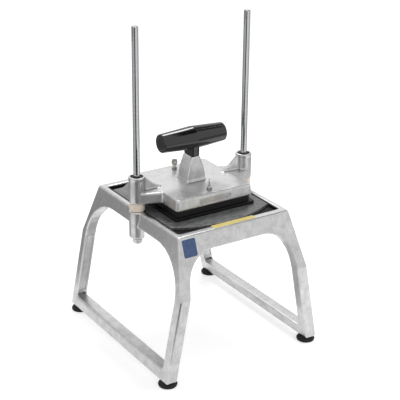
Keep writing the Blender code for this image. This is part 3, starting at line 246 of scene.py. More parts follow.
# Cast aluminium: widths in millimetres, grain, curves that count as edge and corner, roughness
PATCH_WIDTH = 13.0
MARK_WIDTH = 2.6
GRAIN_WIDTH = 1.5
GRAIN_STRENGTH = 0.2
GRAIN_DEPTH = 0.00012
EDGE_CURVE = (0.515, 0.580)
CORNER_CURVE = (0.490, 0.430)
CAST_ROUGHNESS = (0.36, 0.29)
EDGE_ROUGHNESS = 0.22

# Studio
OBJECT_MIDDLE = (0, 0, 0.22)
CAMERA_ANGLE = math.atan2(CAMERA_PLACE[1], CAMERA_PLACE[0])
SURROUND_LIGHT = 0.66
FLOOR_TONE = "#E4E4E4"
FLOOR_LIFT = 0.53
FLOOR_HALF_SIZE = 5
FLAG_STEPS = 24
FLAG_LIFT = 0.002
GRIP_FLAG_REACH = 1.3

# Lamps: place, size, power in watts, and whether the metal mirrors them
LAMPS = {
    "softbox_behind": ((0.47, 0.77, 1.52), 0.45, 7.0, True),
    "softbox_right": ((1.5, -0.9, 0.9), 0.9, 10.0, False),
}
# Flags on the floor: first and last angle from the camera's, nearest and furthest reach, tone
LYING_FLAGS = {
    "flag_floor_left": (-22, -98, 0.74, 3.0, "#C0C0C0"),
    "flag_floor_behind": (-98, -216, 0.62, 2.3, "#949494"),
    "flag_floor_beside": (-90, -216, 0.36, 0.62, "#ACACAC"),
    "flag_floor_right": (144, 70, 0.62, 3.0, "#C4C4C4"),
    "flag_floor_front": (70, 8, 0.86, 3.0, "#EEEEEE"),
    "flag_floor_camera": (8, -22, 0.74, 3.0, "#202020"),
    "flag_floor_near": (14, -30, 0.36, 0.86, "#4A4A4A"),
    "flag_floor_beyond": (36, 14, 0.36, 0.86, "#0E0E0E"),
    "flag_floor_under": (180, -180, 0.01, 0.10, "#C8C8C8"),
}
# Flags that stand: middle, width, height, tone
STANDING_FLAGS = {
    "flag_left": ((-1.30, 1.05, 0.90), 2.3, 1.9, "#E0E0E0"),
    "flag_right": ((1.22, -0.14, 0.98), 0.6, 0.5, "#404040"),
}
# Flags over the grip: first and last angle round its barrel, left and right end, tone
GRIP_FLAGS = {
    "flag_over_grip": (45, 66, -0.19, 0.18, "#484848"),
    "flag_over_grip_right": (52, 80, 0.06, 0.40, "#888888"),
}


# ---- shapes ----

def eased(points, radii):
    """A flat outline with its corners drawn round, by the radius given for each."""
    outline = []
    count = len(points)
    for index, point in enumerate(points):
        corner = Vector(point)
        if not radii[index]:
            outline.append(tuple(corner))
            continue
        back = (Vector(points[index - 1]) - corner).normalized()
        ahead = (Vector(points[(index + 1) % count]) - corner).normalized()
        reach = radii[index] / math.tan(back.angle(ahead) / 2)
        for step in range(CORNER_STEPS + 1):
            t = step / CORNER_STEPS
            outline.append(tuple(corner + back * reach * (1 - t) ** 2 + ahead * reach * t ** 2))
    return outline


def oblong(half_width, half_depth, radius, middle=(0, 0)):
    """A rectangle with round corners."""
    x, y = middle
    points = [
        (x - half_width, y - half_depth), (x + half_width, y - half_depth),
        (x + half_width, y + half_depth), (x - half_width, y + half_depth),
    ]
    return eased(points, [radius] * 4)


def loft(sections):
    """A closed body through level outlines, each given as its height and its points."""
    bm = bmesh.new()
    rings = [[bm.verts.new((x, y, z)) for x, y in outline] for z, outline in sections]
    for lower, upper in zip(rings, rings[1:]):
        for here in range(len(lower)):
            after = (here + 1) % len(lower)
            bm.faces.new((lower[here], lower[after], upper[after], upper[here]))
    bm.faces.new(reversed(rings[0]))
    bm.faces.new(rings[-1])
    return bm


def turned(profile, place=(0, 0), steps=ROUND_STEPS, bored=False):
    """A body turned on a lathe from a profile of radius and height."""
    bm = bmesh.new()
    rings = []
    for radius, height in profile:
        count = steps if radius > 0 else 1
        ring = []
        for index in range(count):
            angle = math.tau * index / steps
            x = place[0] + radius * math.cos(angle)
            y = place[1] + radius * math.sin(angle)
            ring.append(bm.verts.new((x, y, height)))
        rings.append(ring)
    pairs = list(zip(rings, rings[1:]))
    if bored:
        pairs.append((rings[-1], rings[0]))
    for lower, upper in pairs:
        for here in range(steps):
            after = here + 1
            around = [
                lower[here % len(lower)], lower[after % len(lower)],
                upper[after % len(upper)], upper[here % len(upper)],
            ]
            corners = list(dict.fromkeys(around))
            if len(corners) > 2:
                bm.faces.new(corners)
    return bm


def block(low, high):
    """A block between two opposite corners."""
    bm = bmesh.new()
    size = Vector(high) - Vector(low)
    middle = (Vector(high) + Vector(low)) / 2
    place = Matrix.Translation(middle) @ Matrix.Diagonal((*size, 1.0))
    bmesh.ops.create_cube(bm, size=1.0, matrix=place)
    return bm


def quarter_turned(body, axis):
    """A body turned by a right angle about an axis of the frame."""
    turn = Matrix.Rotation(math.pi / 2, 3, axis)
    bmesh.ops.rotate(body, verts=body.verts, cent=(0, 0, 0), matrix=turn)
    return body


def made(name, bm):
    """A new object from a finished body, its shallow edges shaded smooth."""
    bmesh.ops.recalc_face_normals(bm, faces=bm.faces)
    mesh = bpy.data.meshes.new(name)
    bm.to_mesh(mesh)
    bm.free()
    piece = bpy.data.objects.new(name, mesh)
    bpy.context.collection.objects.link(piece)
    shade(piece)
    return piece


def shade(piece):
    """Shade shallow edges smooth and keep sharp ones sharp."""
    piece.data.shade_smooth()
    piece.data.set_sharp_from_angle(angle=SHARP_ANGLE)


def copied(node, name):
    """A new object with its own copy of a solid's mesh, its doubled corners joined again."""
    bm = bmesh.new()
    bm.from_mesh(frame["nodes"][node].data)
    bmesh.ops.remove_doubles(bm, verts=bm.verts, dist=JOIN_DISTANCE)
    bmesh.ops.dissolve_limit(bm, angle_limit=FLAT_ANGLE, verts=bm.verts, edges=bm.edges)
    return made(name, bm)


def settle(piece):
    """Take the shape that the modifiers make as the piece's own mesh."""
    bpy.context.view_layer.update()
    shaped = piece.evaluated_get(bpy.context.evaluated_depsgraph_get())
    mesh = bpy.data.meshes.new_from_object(shaped)
    piece.modifiers.clear()
    worn = piece.data
    piece.data = mesh
    bpy.data.meshes.remove(worn)
    shade(piece)


def work(piece, bm, operation, voxel=0.0):
    """Cut a piece with a body, or join the body to it. A voxel size gives the body small radii."""
    tool = made("tool", bm)
    if voxel:
        cast_skin(tool, voxel, 1)
    step = piece.modifiers.new("work", "BOOLEAN")
    step.operation = operation
    step.solver = "EXACT"
    step.object = tool
    settle(piece)
    bpy.data.objects.remove(tool, do_unlink=True)


def together(bodies):
    """Several bodies as one."""
    group = bmesh.new()
    for body in bodies:
        spare = bpy.data.meshes.new("spare")
        body.to_mesh(spare)
        body.free()
        group.from_mesh(spare)
        bpy.data.meshes.remove(spare)
    return group


def cast_skin(piece, voxel, rounds):
    """The small radii that a sand mould leaves inside and outside every edge."""
    skin = piece.modifiers.new("skin", "REMESH")
    skin.mode = "VOXEL"
    skin.voxel_size = voxel
    radii = piece.modifiers.new("radii", "SMOOTH")
    radii.factor = SKIN_FACTOR
    radii.iterations = rounds
    settle(piece)
    piece.data.shade_smooth()


def ease_edges(piece, width, picks):
    """Round the sharp edges that the chooser picks by the places of their two ends."""
    bm = bmesh.new()
    bm.from_mesh(piece.data)
    chosen = [
        edge for edge in bm.edges
        if edge.calc_face_angle(0) > SHARP_ANGLE and picks(edge.verts[0].co, edge.verts[1].co)
    ]
    bmesh.ops.bevel(
        bm, geom=chosen, offset=width, segments=3, profile=0.5, affect="EDGES", clamp_overlap=True,
    )
    bm.to_mesh(piece.data)
    bm.free()
    shade(piece)


def dress(piece, body, slot, material, *nodes):
    """Finish a piece and let it ride on its body in the place of its solids."""
    piece.data.materials.clear()
    piece.data.materials.append(material)
    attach(piece, body)
    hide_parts(*nodes)


# ---- materials ----

def linear(code):
    """The linear colour of an sRGB hex value."""
    shares = [int(code[place:place + 2], 16) / 255 for place in (1, 3, 5)]
    return [s / 12.92 if s <= 0.04045 else ((s + 0.055) / 1.055) ** 2.4 for s in shares] + [1.0]


def add_node(tree, kind, inputs, **settings):
    """Add one node with its settings, and set or link its inputs."""
    node = tree.nodes.new(kind)
    for name, value in settings.items():
        setattr(node, name, value)
    for name, value in inputs.items():
        if isinstance(value, bpy.types.NodeSocket):
            tree.links.new(value, node.inputs[name])
        else:
            node.inputs[name].default_value = value
    return node


def per_metre(millimetres):
    """The texture scale at which one feature is that wide."""
    return 1000 / millimetres


def new_material(name, **sockets):
    """A material with its fixed numbers on the shader's own sockets, its nodes and its shader."""
    material = bpy.data.materials.new(name)
    material.use_nodes = True
    shader = material.node_tree.nodes["Principled BSDF"]
    for socket, value in sockets.items():
        shader.inputs[socket.replace("_", " ")].default_value = value
    return material, material.node_tree, shader


def own_place(tree):
    """The place on the piece, in metres."""
    return add_node(tree, "ShaderNodeTexCoord", {}).outputs["Object"]


def ranged(tree, value, start, stop, low=0.0, high=1.0):
    """A value from start to stop as one from low to high, held between the two."""
    node = add_node(
        tree, "ShaderNodeMapRange",
        {"Value": value, "From Min": start, "From Max": stop, "To Min": low, "To Max": high},
    )
    return node.outputs["Result"]


def mixed(tree, share, first, second, data_type="RGBA", blend_type="MIX"):
    """Two colours or numbers mixed by a share."""
    node = add_node(
        tree, "ShaderNodeMix", {"Factor": share, "A": first, "B": second},
        data_type=data_type, blend_type=blend_type,
    )
    return node.outputs["Result"]


def either(tree, first, second):
    """The larger of two numbers."""
    node = add_node(tree, "ShaderNodeMath", {0: first, 1: second}, operation="MAXIMUM")
    return node.outputs["Value"]


def bump(tree, shader, height, strength, depth):
    """Raise the surface by a share of a depth in metres."""
    node = add_node(
        tree, "ShaderNodeBump", {"Height": height, "Strength": strength, "Distance": depth},
    )
    tree.links.new(node.outputs["Normal"], shader.inputs["Normal"])


def clouds(tree, place, millimetres, stretch=(1, 1, 1), detail=3.0, contrast=0.3):
    """Soft clouds of that width as a share from 0 to 1. A small stretch draws them out."""
    drawn = add_node(tree, "ShaderNodeMapping", {"Vector": place, "Scale": stretch})
    noise = add_node(
        tree, "ShaderNodeTexNoise",
        {"Vector": drawn.outputs["Vector"], "Scale": per_metre(millimetres), "Detail": detail},
    )
    return ranged(tree, noise.outputs["Fac"], 0.5 - contrast / 2, 0.5 + contrast / 2)


def make_cast_aluminium():
    """Aluminium, sand cast and tumbled: a light satin with cloudy patches and faint upright draw
    marks, a fine pebble grain from the tumbling stones, smoother edges that carry a painted
    highlight, and painted shade that darkens the inner corners."""
    material, tree, shader = new_material("aluminium_sand_cast_tumbled", Metallic=1.0)
    place = own_place(tree)
    patches = clouds(tree, place, PATCH_WIDTH, detail=4.0)
    marks = clouds(tree, place, MARK_WIDTH, stretch=(1, 1, 0.12), detail=2.0, contrast=0.4)
    # The real grain is about 0.5 mm; it is drawn at 1.5 mm so that it shows.
    grain = clouds(tree, place, GRAIN_WIDTH, detail=4.0, contrast=0.4)
    colour = mixed(tree, patches, linear("#CBCBCB"), linear("#DCDCDC"))
    for share, tone in ((marks, "#F3F3F3"), (grain, "#E9E9E9")):
        darker = mixed(tree, share, linear(tone), linear("#FFFFFF"))
        colour = mixed(tree, 1.0, colour, darker, blend_type="MULTIPLY")
    curve = add_node(tree, "ShaderNodeNewGeometry", {}).outputs["Pointiness"]
    edge = ranged(tree, curve, *EDGE_CURVE)
    corner = ranged(tree, curve, *CORNER_CURVE)
    # Painted highlight: the colour is lighter on the convex edges, where the pointiness is high.
    painted_edge_highlight = mixed(tree, edge, colour, linear("#E6E6E6"))
    # Painted shade: the colour is a darker grey in the inner corners, where the pointiness is low.
    painted_corner_shade = mixed(tree, corner, painted_edge_highlight, linear("#7C7C7C"))
    tree.links.new(painted_corner_shade, shader.inputs["Base Color"])
    satin = ranged(tree, patches, 0.0, 1.0, *CAST_ROUGHNESS)
    # The edges are smoother than the faces, so they catch the light.
    roughness = mixed(tree, edge, satin, EDGE_ROUGHNESS, data_type="FLOAT")
    tree.links.new(roughness, shader.inputs["Roughness"])
    bump(tree, shader, grain, GRAIN_STRENGTH, GRAIN_DEPTH)
    return material


def make_finish(name, shades, cloud, gloss, grain, stretch=(1, 1, 1), **sockets):
    """A surface in two shades that lie in clouds of a width in millimetres, with a roughness that
    goes with them, and a grain given by its width in millimetres and its depth in metres."""
    material, tree, shader = new_material(name, **sockets)
    place = own_place(tree)
    share = clouds(tree, place, cloud, stretch)
    colour = mixed(tree, share, linear(shades[0]), linear(shades[1]))
    tree.links.new(colour, shader.inputs["Base Color"])
    tree.links.new(ranged(tree, share, 0.0, 1.0, *gloss), shader.inputs["Roughness"])
    width, depth = grain
    bump(tree, shader, clouds(tree, place, width, stretch, contrast=0.5), 1.0, depth)
    return material


aluminium = make_cast_aluminium()
# Steel bar, centreless ground: nearly a mirror, broken by fine rings round the rod. The rings are
# about 0.05 mm apart on the real rod and are drawn at 0.9 mm so that they show.
ground_steel = make_finish(
    "steel_bar_centreless_ground", ("#C6C8CA", "#D6D8DA"), 0.9, (0.06, 0.10), (0.9, 0.0000015),
    stretch=(0.05, 0.05, 1), Metallic=1.0,
)
# Stainless strip, ground: a cool satin with fine scratches up the blade, drawn at 0.8 mm.
blade_steel = make_finish(
    "stainless_strip_ground", ("#C6C8CA", "#D8DADC"), 0.8, (0.20, 0.28), (0.8, 0.000004),
    stretch=(1, 1, 0.1), Metallic=1.0,
)
# Steel, zinc plated: a slightly blue, slightly cloudy grey with a soft shine.
zinc_steel = make_finish(
    "steel_zinc_plated", ("#A4A7AB", "#C0C3C7"), 1.6, (0.26, 0.36), (0.6, 0.000006),
    Metallic=1.0,
)
# Zinc alloy, die cast and nickel plated: a warmer shine over a slightly wavy skin.
nickel_zinc = make_finish(
    "zinc_alloy_die_cast_nickel_plated", ("#B4B2AE", "#CCCAC6"), 1.4, (0.18, 0.26),
    (1.2, 0.00002), Metallic=1.0,
)
# Nylon with glass fibre, moulded: a mid grey with streaks where the fibres flowed in.
deck_nylon = make_finish(
    "glass_filled_nylon_moulded", ("#4E4F50", "#707171"), 2.2, (0.16, 0.26), (0.8, 0.000010),
    stretch=(0.25, 1, 1), IOR=1.58,
)
# ABS, moulded in a lightly etched mould: an even near-black that hardly shines.
tray_abs = make_finish(
    "abs_moulded_etched", ("#101011", "#191919"), 2.2, (0.50, 0.60), (0.7, 0.000010),
    Specular_IOR_Level=0.22,
)
# Acetal, moulded: a black satin with a faint waxy cloudiness.
block_acetal = make_finish(
    "acetal_moulded", ("#0C0C0D", "#141415"), 4.5, (0.36, 0.46), (1.0, 0.000008),
    Specular_IOR_Level=0.22,
)
# Phenolic, compression moulded and buffed: a deep black gloss with a trace of orange peel.
grip_phenolic = make_finish(
    "phenolic_compression_moulded_buffed", ("#09090A", "#0F0F10"), 7.0, (0.07, 0.11),
    (4.0, 0.000006), IOR=1.6,
)
# Nitrile rubber, moulded: a dry black with a bloom of grey dust.
foot_rubber = make_finish(
    "nitrile_rubber_moulded", ("#161616", "#262625"), 1.8, (0.60, 0.75), (0.6, 0.000015),
    Specular_IOR_Level=0.3,
)
# Gum rubber, moulded: a light cream that is a little browner where it has been handled.
bumper_rubber = make_finish(
    "gum_rubber_moulded", ("#F8ECDD", "#EFDFCB"), 5.0, (0.45, 0.55), (0.8, 0.000010),
    Subsurface_Weight=0.15, Subsurface_Scale=0.002,
)
# Acetal, turned: dark grey with faint rings from the tool, drawn at 0.4 mm.
bushing_acetal = make_finish(
    "acetal_turned", ("#222224", "#2D2D2F"), 0.4, (0.30, 0.40), (0.4, 0.000005),
    stretch=(0.1, 0.1, 1),
)
# Vinyl film, printed: flat colour with a slight sheen and a little wear.
label_yellow = make_finish(
    "vinyl_film_yellow", ("#E0CA6E", "#E8D47E"), 6.0, (0.35, 0.45), (3.0, 0.000008),
)
label_blue = make_finish(
    "vinyl_film_blue", ("#3B5078", "#455C86"), 6.0, (0.35, 0.45), (3.0, 0.000008),
)


# ---- pieces ----

def outer_half_width(z):
    """Half the stand's width over the legs at a height."""
    drop = (STAND_TOP_Z - z) / (STAND_TOP_Z - STAND_BASE_Z)
    return TOP_HALF_WIDTH + (BASE_HALF_WIDTH - TOP_HALF_WIDTH) * drop


def leg_recess(side, low, high, width, near, far):
    """A block that leans with a leg, for the recesses in the leg's inner wall."""
    body = block((-width / 2, near, low), (width / 2, far, high))
    for vert in body.verts:
        vert.co.x += side * (outer_half_width(vert.co.z) - LEG_WIDTH / 2)
    return body


def dress_stand():
    """The casting with its small radii, and with its core recesses cut crisp again."""
    stand = copied("stand_casting", "stand_cast_body")
    cast_skin(stand, STAND_VOXEL, STAND_SKIN_ROUNDS)
    recesses = []
    for side in SIDES.values():
        for wall, outward in ((-FRONT_LEG_INNER_Y, -1), (REAR_LEG_INNER_Y, 1)):
            inside = wall - outward * LEG_RECESS_OVERRUN
            near, far = sorted((inside, wall + outward * LEG_RECESS_DEPTH))
            recesses.append(
                leg_recess(side, LEG_RECESS_LOW, LEG_RECESS_HIGH, LEG_RECESS_WIDTH, near, far)
            )
    work(stand, together(recesses), "DIFFERENCE", voxel=LEG_RECESS_VOXEL)
    near, far = REAR_LEG_INNER_Y - POCKET_OVERRUN, REAR_LEG_INNER_Y + POCKET_DEPTH
    pockets = [
        leg_recess(side, POCKET_LOW, POCKET_LOW + POCKET_HEIGHT, POCKET_WIDTH, near, far)
        for side in SIDES.values()
    ]
    work(stand, together(pockets), "DIFFERENCE", voxel=POCKET_VOXEL)
    dress(stand, "stand", "cast_aluminium", aluminium, "stand_casting")


def plate_front_y(z):
    """The front of the head plate leans back a little on its way up."""
    return -PLATE_HALF_DEPTH + PLATE_DRAFT * (z - HEAD_Z) / (PLATE_TOP_Z - HEAD_Z)


def name_place_filling():
    """Fills the name place, so that it can be cut crisp once the skin is drawn."""
    half_height = NAME_PLACE_HEIGHT / 2 + FILLING_MARGIN
    x = NAME_PLACE_HALF_WIDTH + FILLING_MARGIN
    sections = []
    for z in (NAME_PLACE_Z - half_height, NAME_PLACE_Z + half_height):
        front = plate_front_y(z)
        back = front + FILLING_DEPTH
        sections.append((z, [(-x, front), (x, front), (x, back), (-x, back)]))
    return loft(sections)


def name_place():
    """The bare name place: a shallow recess with round ends."""
    corner = NAME_PLACE_HEIGHT / 2 - NAME_PLACE_FLAT_END
    half_height = NAME_PLACE_HEIGHT / 2
    outline = oblong(NAME_PLACE_HALF_WIDTH, half_height, corner, (0, NAME_PLACE_Z))
    front = plate_front_y(NAME_PLACE_Z)
    inner, outer = -(front + NAME_PLACE_DEPTH), -(front - NAME_PLACE_OVERRUN)
    return quarter_turned(loft([(inner, outline), (outer, outline)]), "X")


def arm_web(side, end):
    """A small web in the corner between the plate and an arm."""
    x, y = PLATE_HALF_WIDTH - WEB_START[0], ARM_HALF_WIDTH - WEB_START[1]
    lean = WEB_REACH * ARM_TAPER
    curve = []
    for step in range(CORNER_STEPS + 1):
        t = step / CORNER_STEPS
        curve.append((x + WEB_REACH * t ** 2, y + WEB_REACH * (1 - t) ** 2 - lean * t ** 2))
    outline = [(x - WEB_ROOT[0], y + WEB_REACH)] + curve
    outline += [(x + WEB_REACH, y - lean - WEB_ROOT[1]), (x - WEB_ROOT[0], y - WEB_ROOT[1])]
    outline = [(side * a, end * b) for a, b in outline]
    return loft([(HEAD_Z + WEB_LOW, outline), (HEAD_Z + WEB_HIGH, outline)])


def dress_head():
    """The casting with its small radii, its bores and its bare name place."""
    head = copied("head_casting", "head_cast_body")
    work(head, name_place_filling(), "UNION")
    for side in SIDES.values():
        for end in ENDS.values():
            work(head, arm_web(side, end), "UNION")
    cast_skin(head, HEAD_VOXEL, HEAD_SKIN_ROUNDS)
    work(head, name_place(), "DIFFERENCE", voxel=NAME_PLACE_VOXEL)
    low, high = HEAD_Z - BORE_OVERRUN, HEAD_BOSS_TOP_Z + BORE_OVERRUN
    seat = HEAD_BOSS_TOP_Z - COUNTERBORE_DEPTH
    profile = [
        (0, low), (BUSHING_BORE_RADIUS, low), (BUSHING_BORE_RADIUS, seat),
        (COUNTERBORE_RADIUS, seat), (COUNTERBORE_RADIUS, high), (0, high),
    ]
    bores = [turned(profile, (side * ROD_X, 0)) for side in SIDES.values()]
    work(head, together(bores), "DIFFERENCE")
    dress(head, "head", "cast_aluminium", aluminium, "head_casting")


def dress_rods():
    """Ground rods with bevelled ends and two spanner flats near the top."""
    for name, side in SIDES.items():
        low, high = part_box(f"guide_rod_{name}")
        profile = [
            (0, low.z), (ROD_RADIUS - ROD_BEVEL, low.z), (ROD_RADIUS, low.z + ROD_BEVEL),
            (ROD_RADIUS, high.z - ROD_BEVEL), (ROD_RADIUS - ROD_BEVEL, high.z), (0, high.z),
        ]
        rod = made(f"rod_{name}", turned(profile, (side * ROD_X, 0)))
        flats = []
        for face in (-1, 1):
            near = side * ROD_X + face * ROD_ACROSS_FLATS / 2
            far = side * ROD_X + face * ROD_RADIUS * 2
            flats.append(block(
                (min(near, far), -ROD_RADIUS * 2, high.z - ROD_FLAT_LENGTH),
                (max(near, far), ROD_RADIUS * 2, high.z + ROD_RADIUS),
            ))
        work(rod, together(flats), "DIFFERENCE")
        dress(rod, "stand", "ground_steel", ground_steel, f"guide_rod_{name}")


def dress_bumpers():
    """Soft rings with well rounded edges and a slight belly."""
    bore = ROD_RADIUS + ROD_CLEARANCE
    for name, side in SIDES.items():
        low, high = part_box(f"bumper_{name}")
        belly = (high.x - low.x) / 2 - BUMPER_PRESS
        rim = belly - BUMPER_BELLY
        middle = (low.z + high.z) / 2
        points = [(bore, low.z), (rim, low.z), (belly, middle), (rim, high.z), (bore, high.z)]
        ring = turned(eased(points, BUMPER_ROUNDINGS), (side * ROD_X, 0), bored=True)
        bumper = made(f"rubber_bumper_{name}", ring)
        dress(bumper, "stand", "bumper_rubber", bumper_rubber, f"bumper_{name}")


def dress_grip():
    """The T-grip: a barrel of two cones with dished ends, on a square neck."""
    length, dish, depth = GRIP_HALF_LENGTH, GRIP_DISH_RADIUS, GRIP_DISH_DEPTH
    points = [
        (0, length - depth), (dish - depth, length - depth), (dish, length),
        (GRIP_END_RADIUS, length), (GRIP_MIDDLE_RADIUS - GRIP_RIDGE_DROP, GRIP_RIDGE_HALF_WIDTH),
    ]
    half = eased(points, GRIP_ROUNDINGS)
    mirror = [(radius, -along) for radius, along in reversed(half)]
    barrel = quarter_turned(turned(half + [(GRIP_MIDDLE_RADIUS, 0)] + mirror), "Y")
    bmesh.ops.translate(barrel, verts=barrel.verts, vec=(0, 0, GRIP_AXIS_Z))
    grip = made("t_grip", barrel)
    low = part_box("grip")[0].z
    foot = oblong(NECK_HALF_WIDTH - NECK_BEVEL, NECK_HALF_DEPTH - NECK_BEVEL, NECK_FOOT_CORNER)
    full = oblong(NECK_HALF_WIDTH, NECK_HALF_DEPTH, NECK_CORNER)
    work(grip, loft([(low, foot), (low + NECK_BEVEL, full), (GRIP_AXIS_Z, full)]), "UNION")
    dress(grip, "head", "grip_black", grip_phenolic, "grip")


def dress_foot(corner):
    """A rubber foot with a drawn-in neck, a full belly and a flat sole round the screw's recess."""
    low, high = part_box(f"foot_{corner}")
    place = ((low.x + high.x) / 2, (low.y + high.y) / 2)
    full = (high.x - low.x) / 2
    points = [
        (FOOT_RECESS_RADIUS, 0), (full - FOOT_SOLE_INSET, 0), (full, FOOT_BELLY_Z),
        (full - FOOT_WAIST_INSET, FOOT_WAIST_Z), (full - FOOT_NECK_INSET, high.z),
        (FOOT_BORE_RADIUS, high.z), (FOOT_BORE_RADIUS, FOOT_RECESS_DEPTH),
        (FOOT_RECESS_RADIUS, FOOT_RECESS_DEPTH),
    ]
    foot = made(f"rubber_foot_{corner}", turned(eased(points, FOOT_ROUNDINGS), place, bored=True))
    dress(foot, "stand", "foot_rubber", foot_rubber, f"foot_{corner}")


def dress_corners():
    """Each corner's foot, the screw that holds it, and a screw of the retaining ring."""
    for corner in CORNERS:
        dress_foot(corner)
        dress_screw(f"foot_screw_{corner}", *FOOT_SCREW)
        dress_screw(f"retainer_screw_{corner}", *RETAINER_SCREW)


def dress_screw(node, head_height, shank):
    """A pan-head screw with its crossed recess facing down."""
    low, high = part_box(node)
    x, y = (low.x + high.x) / 2, (low.y + high.y) / 2
    full = (high.x - low.x) / 2
    points = [
        (0, low.z), (full * PAN_FACE, low.z), (full, low.z + head_height * PAN_SHOULDER),
        (full, low.z + head_height), (shank, low.z + head_height), (shank, high.z), (0, high.z),
    ]
    radii = [
        0, full * PAN_FACE_ROUNDING, head_height * PAN_SHOULDER_ROUNDING,
        head_height * PAN_EDGE_ROUNDING, 0, shank * SHANK_END_ROUNDING, 0,
    ]
    screw = made(f"pan_{node}", turned(eased(points, radii), (x, y), SMALL_ROUND_STEPS))
    long, thin = full * CROSS_LENGTH, full * CROSS_WIDTH
    start, stop = low.z - CUT_OVERRUN, low.z + head_height * CROSS_DEPTH
    for a, b in ((long, thin), (thin, long)):
        work(screw, block((x - a, y - b, start), (x + a, y + b, stop)), "DIFFERENCE")
    dress(screw, "stand", "plated_steel", zinc_steel, node)


def dress_bushings():
    """Bushings with broken edges; the upper ones have a flange that fills the counterbore."""
    bore = ROD_RADIUS + ROD_CLEARANCE
    for name, side in SIDES.items():
        for level in ("upper", "lower"):
            low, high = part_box(f"{level}_bushing_{name}")
            outer = (high.x - low.x) / 2
            points = [(bore, low.z), (outer, low.z), (outer, high.z), (bore, high.z)]
            radii = list(BUSHING_ROUNDINGS)
            if level == "upper":
                seat = high.z - BUSHING_FLANGE
                points[1:2] = [(BUSHING_RADIUS, low.z), (BUSHING_RADIUS, seat), (outer, seat)]
                radii[1:2] = FLANGE_ROUNDINGS
            ring = turned(eased(points, radii), (side * ROD_X, 0), bored=True)
            bushing = made(f"turned_bushing_{level}_{name}", ring)
            node = f"{level}_bushing_{name}"
            dress(bushing, "head", "bushing_plastic", bushing_acetal, node)


def spade():
    """The thumb piece of a screw, upright in the X-Z plane: a round-lobed spade with a soft rim."""
    low = SPADE_FOOT - SPADE_SUNK
    shoulder = SPADE_FOOT + SPADE_SHOULDER
    high = SPADE_FOOT + SPADE_REACH
    face, flat = SPADE_HALF_THICKNESS, SPADE_FLAT_HALF_THICKNESS
    sections = []
    for level, inset in ((-face, SPADE_RIM), (-flat, 0), (flat, 0), (face, SPADE_RIM)):
        a = SPADE_ROOT_HALF_WIDTH - inset
        b = SPADE_HALF_WIDTH - inset
        c = SPADE_CROWN_HALF_WIDTH - inset
        corners = [
            (-a, low), (a, low), (b, shoulder),
            (c, high - inset), (-c, high - inset), (-b, shoulder),
        ]
        sections.append((level, eased(corners, SPADE_ROUNDINGS)))
    return quarter_turned(loft(sections), "X")


def spade_dishes():
    """The two shallow dishes for thumb and finger."""
    dishes = bmesh.new()
    for face in (-1, 1):
        reach = SPADE_HALF_THICKNESS - DISH_DEPTH + DISH_BALL
        place = Matrix.Translation((0, face * reach, SPADE_FOOT + DISH_HEIGHT))
        bmesh.ops.create_uvsphere(
            dishes, u_segments=48, v_segments=24, radius=DISH_BALL, matrix=place,
        )
    return dishes


def dress_thumb_screw(name, end):
    """A spade-headed thumb screw, die cast round its shank."""
    node = f"thumb_screw_{name}"
    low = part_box(node)[0].z - PLATE_TOP_Z
    points = [
        (0, low), (THUMB_SHANK_RADIUS, low), (THUMB_SHANK_RADIUS, THUMB_COLLAR_LOW),
        (THUMB_COLLAR_RADIUS, THUMB_COLLAR_LOW), (THUMB_COLLAR_RADIUS, THUMB_COLLAR_HIGH),
        (THUMB_STEM_RADIUS, THUMB_COLLAR_HIGH), (THUMB_STEM_TOP_RADIUS, SPADE_FOOT),
        (0, SPADE_FOOT),
    ]
    shank = turned(eased(points, THUMB_ROUNDINGS), steps=SMALL_ROUND_STEPS)
    screw = made(f"spade_{node}", shank)
    work(screw, spade(), "UNION")
    work(screw, spade_dishes(), "DIFFERENCE")
    cast_skin(screw, THUMB_VOXEL, THUMB_SKIN_ROUNDS)
    turn = Matrix.Rotation(THUMB_TURNS[name], 4, "Z")
    screw.data.transform(Matrix.Translation((0, end * THUMB_OFFSET, PLATE_TOP_Z)) @ turn)
    dress(screw, f"{name}_thumb_screw", "plated_steel", nickel_zinc, node)


def dress_washer(name, end):
    """A thumb screw's washer with broken edges."""
    node = f"screw_washer_{name}"
    low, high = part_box(node)
    points = [
        (WASHER_BORE_RADIUS, low.z), (WASHER_RADIUS, low.z),
        (WASHER_RADIUS, high.z), (WASHER_BORE_RADIUS, high.z),
    ]
    ring = turned(eased(points, WASHER_ROUNDINGS), (0, end * THUMB_OFFSET), bored=True)
    washer = made(f"round_{node}", ring)
    dress(washer, f"{name}_washer", "plated_steel", zinc_steel, node)


def dress_mouldings():
    """The moulded pieces keep their solids' shape, with the small radii of their moulds."""
    deck_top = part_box("blade_frame")[1].z
    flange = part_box("pusher_block")[0].z + PEG_LENGTH

    def on_deck(a, b):
        outside = max(abs(a.x), abs(a.y)) > DECK_RIM
        return min(a.z, b.z) > deck_top - LEVEL_PLAY and outside

    def on_block(a, b):
        outside = all(max(abs(end.x), abs(end.y)) > BLOCK_RIM for end in (a, b))
        return min(a.z, b.z) > flange - LEVEL_PLAY and outside

    def anywhere(a, b):
        return True

    # Each solid's new piece, body, slot, material, width of the rounding, and the edges it goes on
    mouldings = {
        "insert_tray": ("black_tray", "stand", "tray_black", tray_abs, 0.0003, anywhere),
        "blade_retainer": ("retaining_ring", "stand", "tray_black", tray_abs, 0.0004, anywhere),
        "blade_frame": ("grey_deck", "stand", "blade_frame_grey", deck_nylon, 0.0007, on_deck),
        "pusher_block": (
            "black_pusher_block", "head", "block_black", block_acetal, 0.0008, on_block,
        ),
    }
    for node, (name, body, slot, material, width, picks) in mouldings.items():
        piece = copied(node, name)
        ease_edges(piece, width, picks)
        dress(piece, body, slot, material, node)


def add_label(name, body, material):
    """A label that rides on the stand."""
    label = made(name, body)
    label.data.materials.append(material)
    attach(label, "stand")


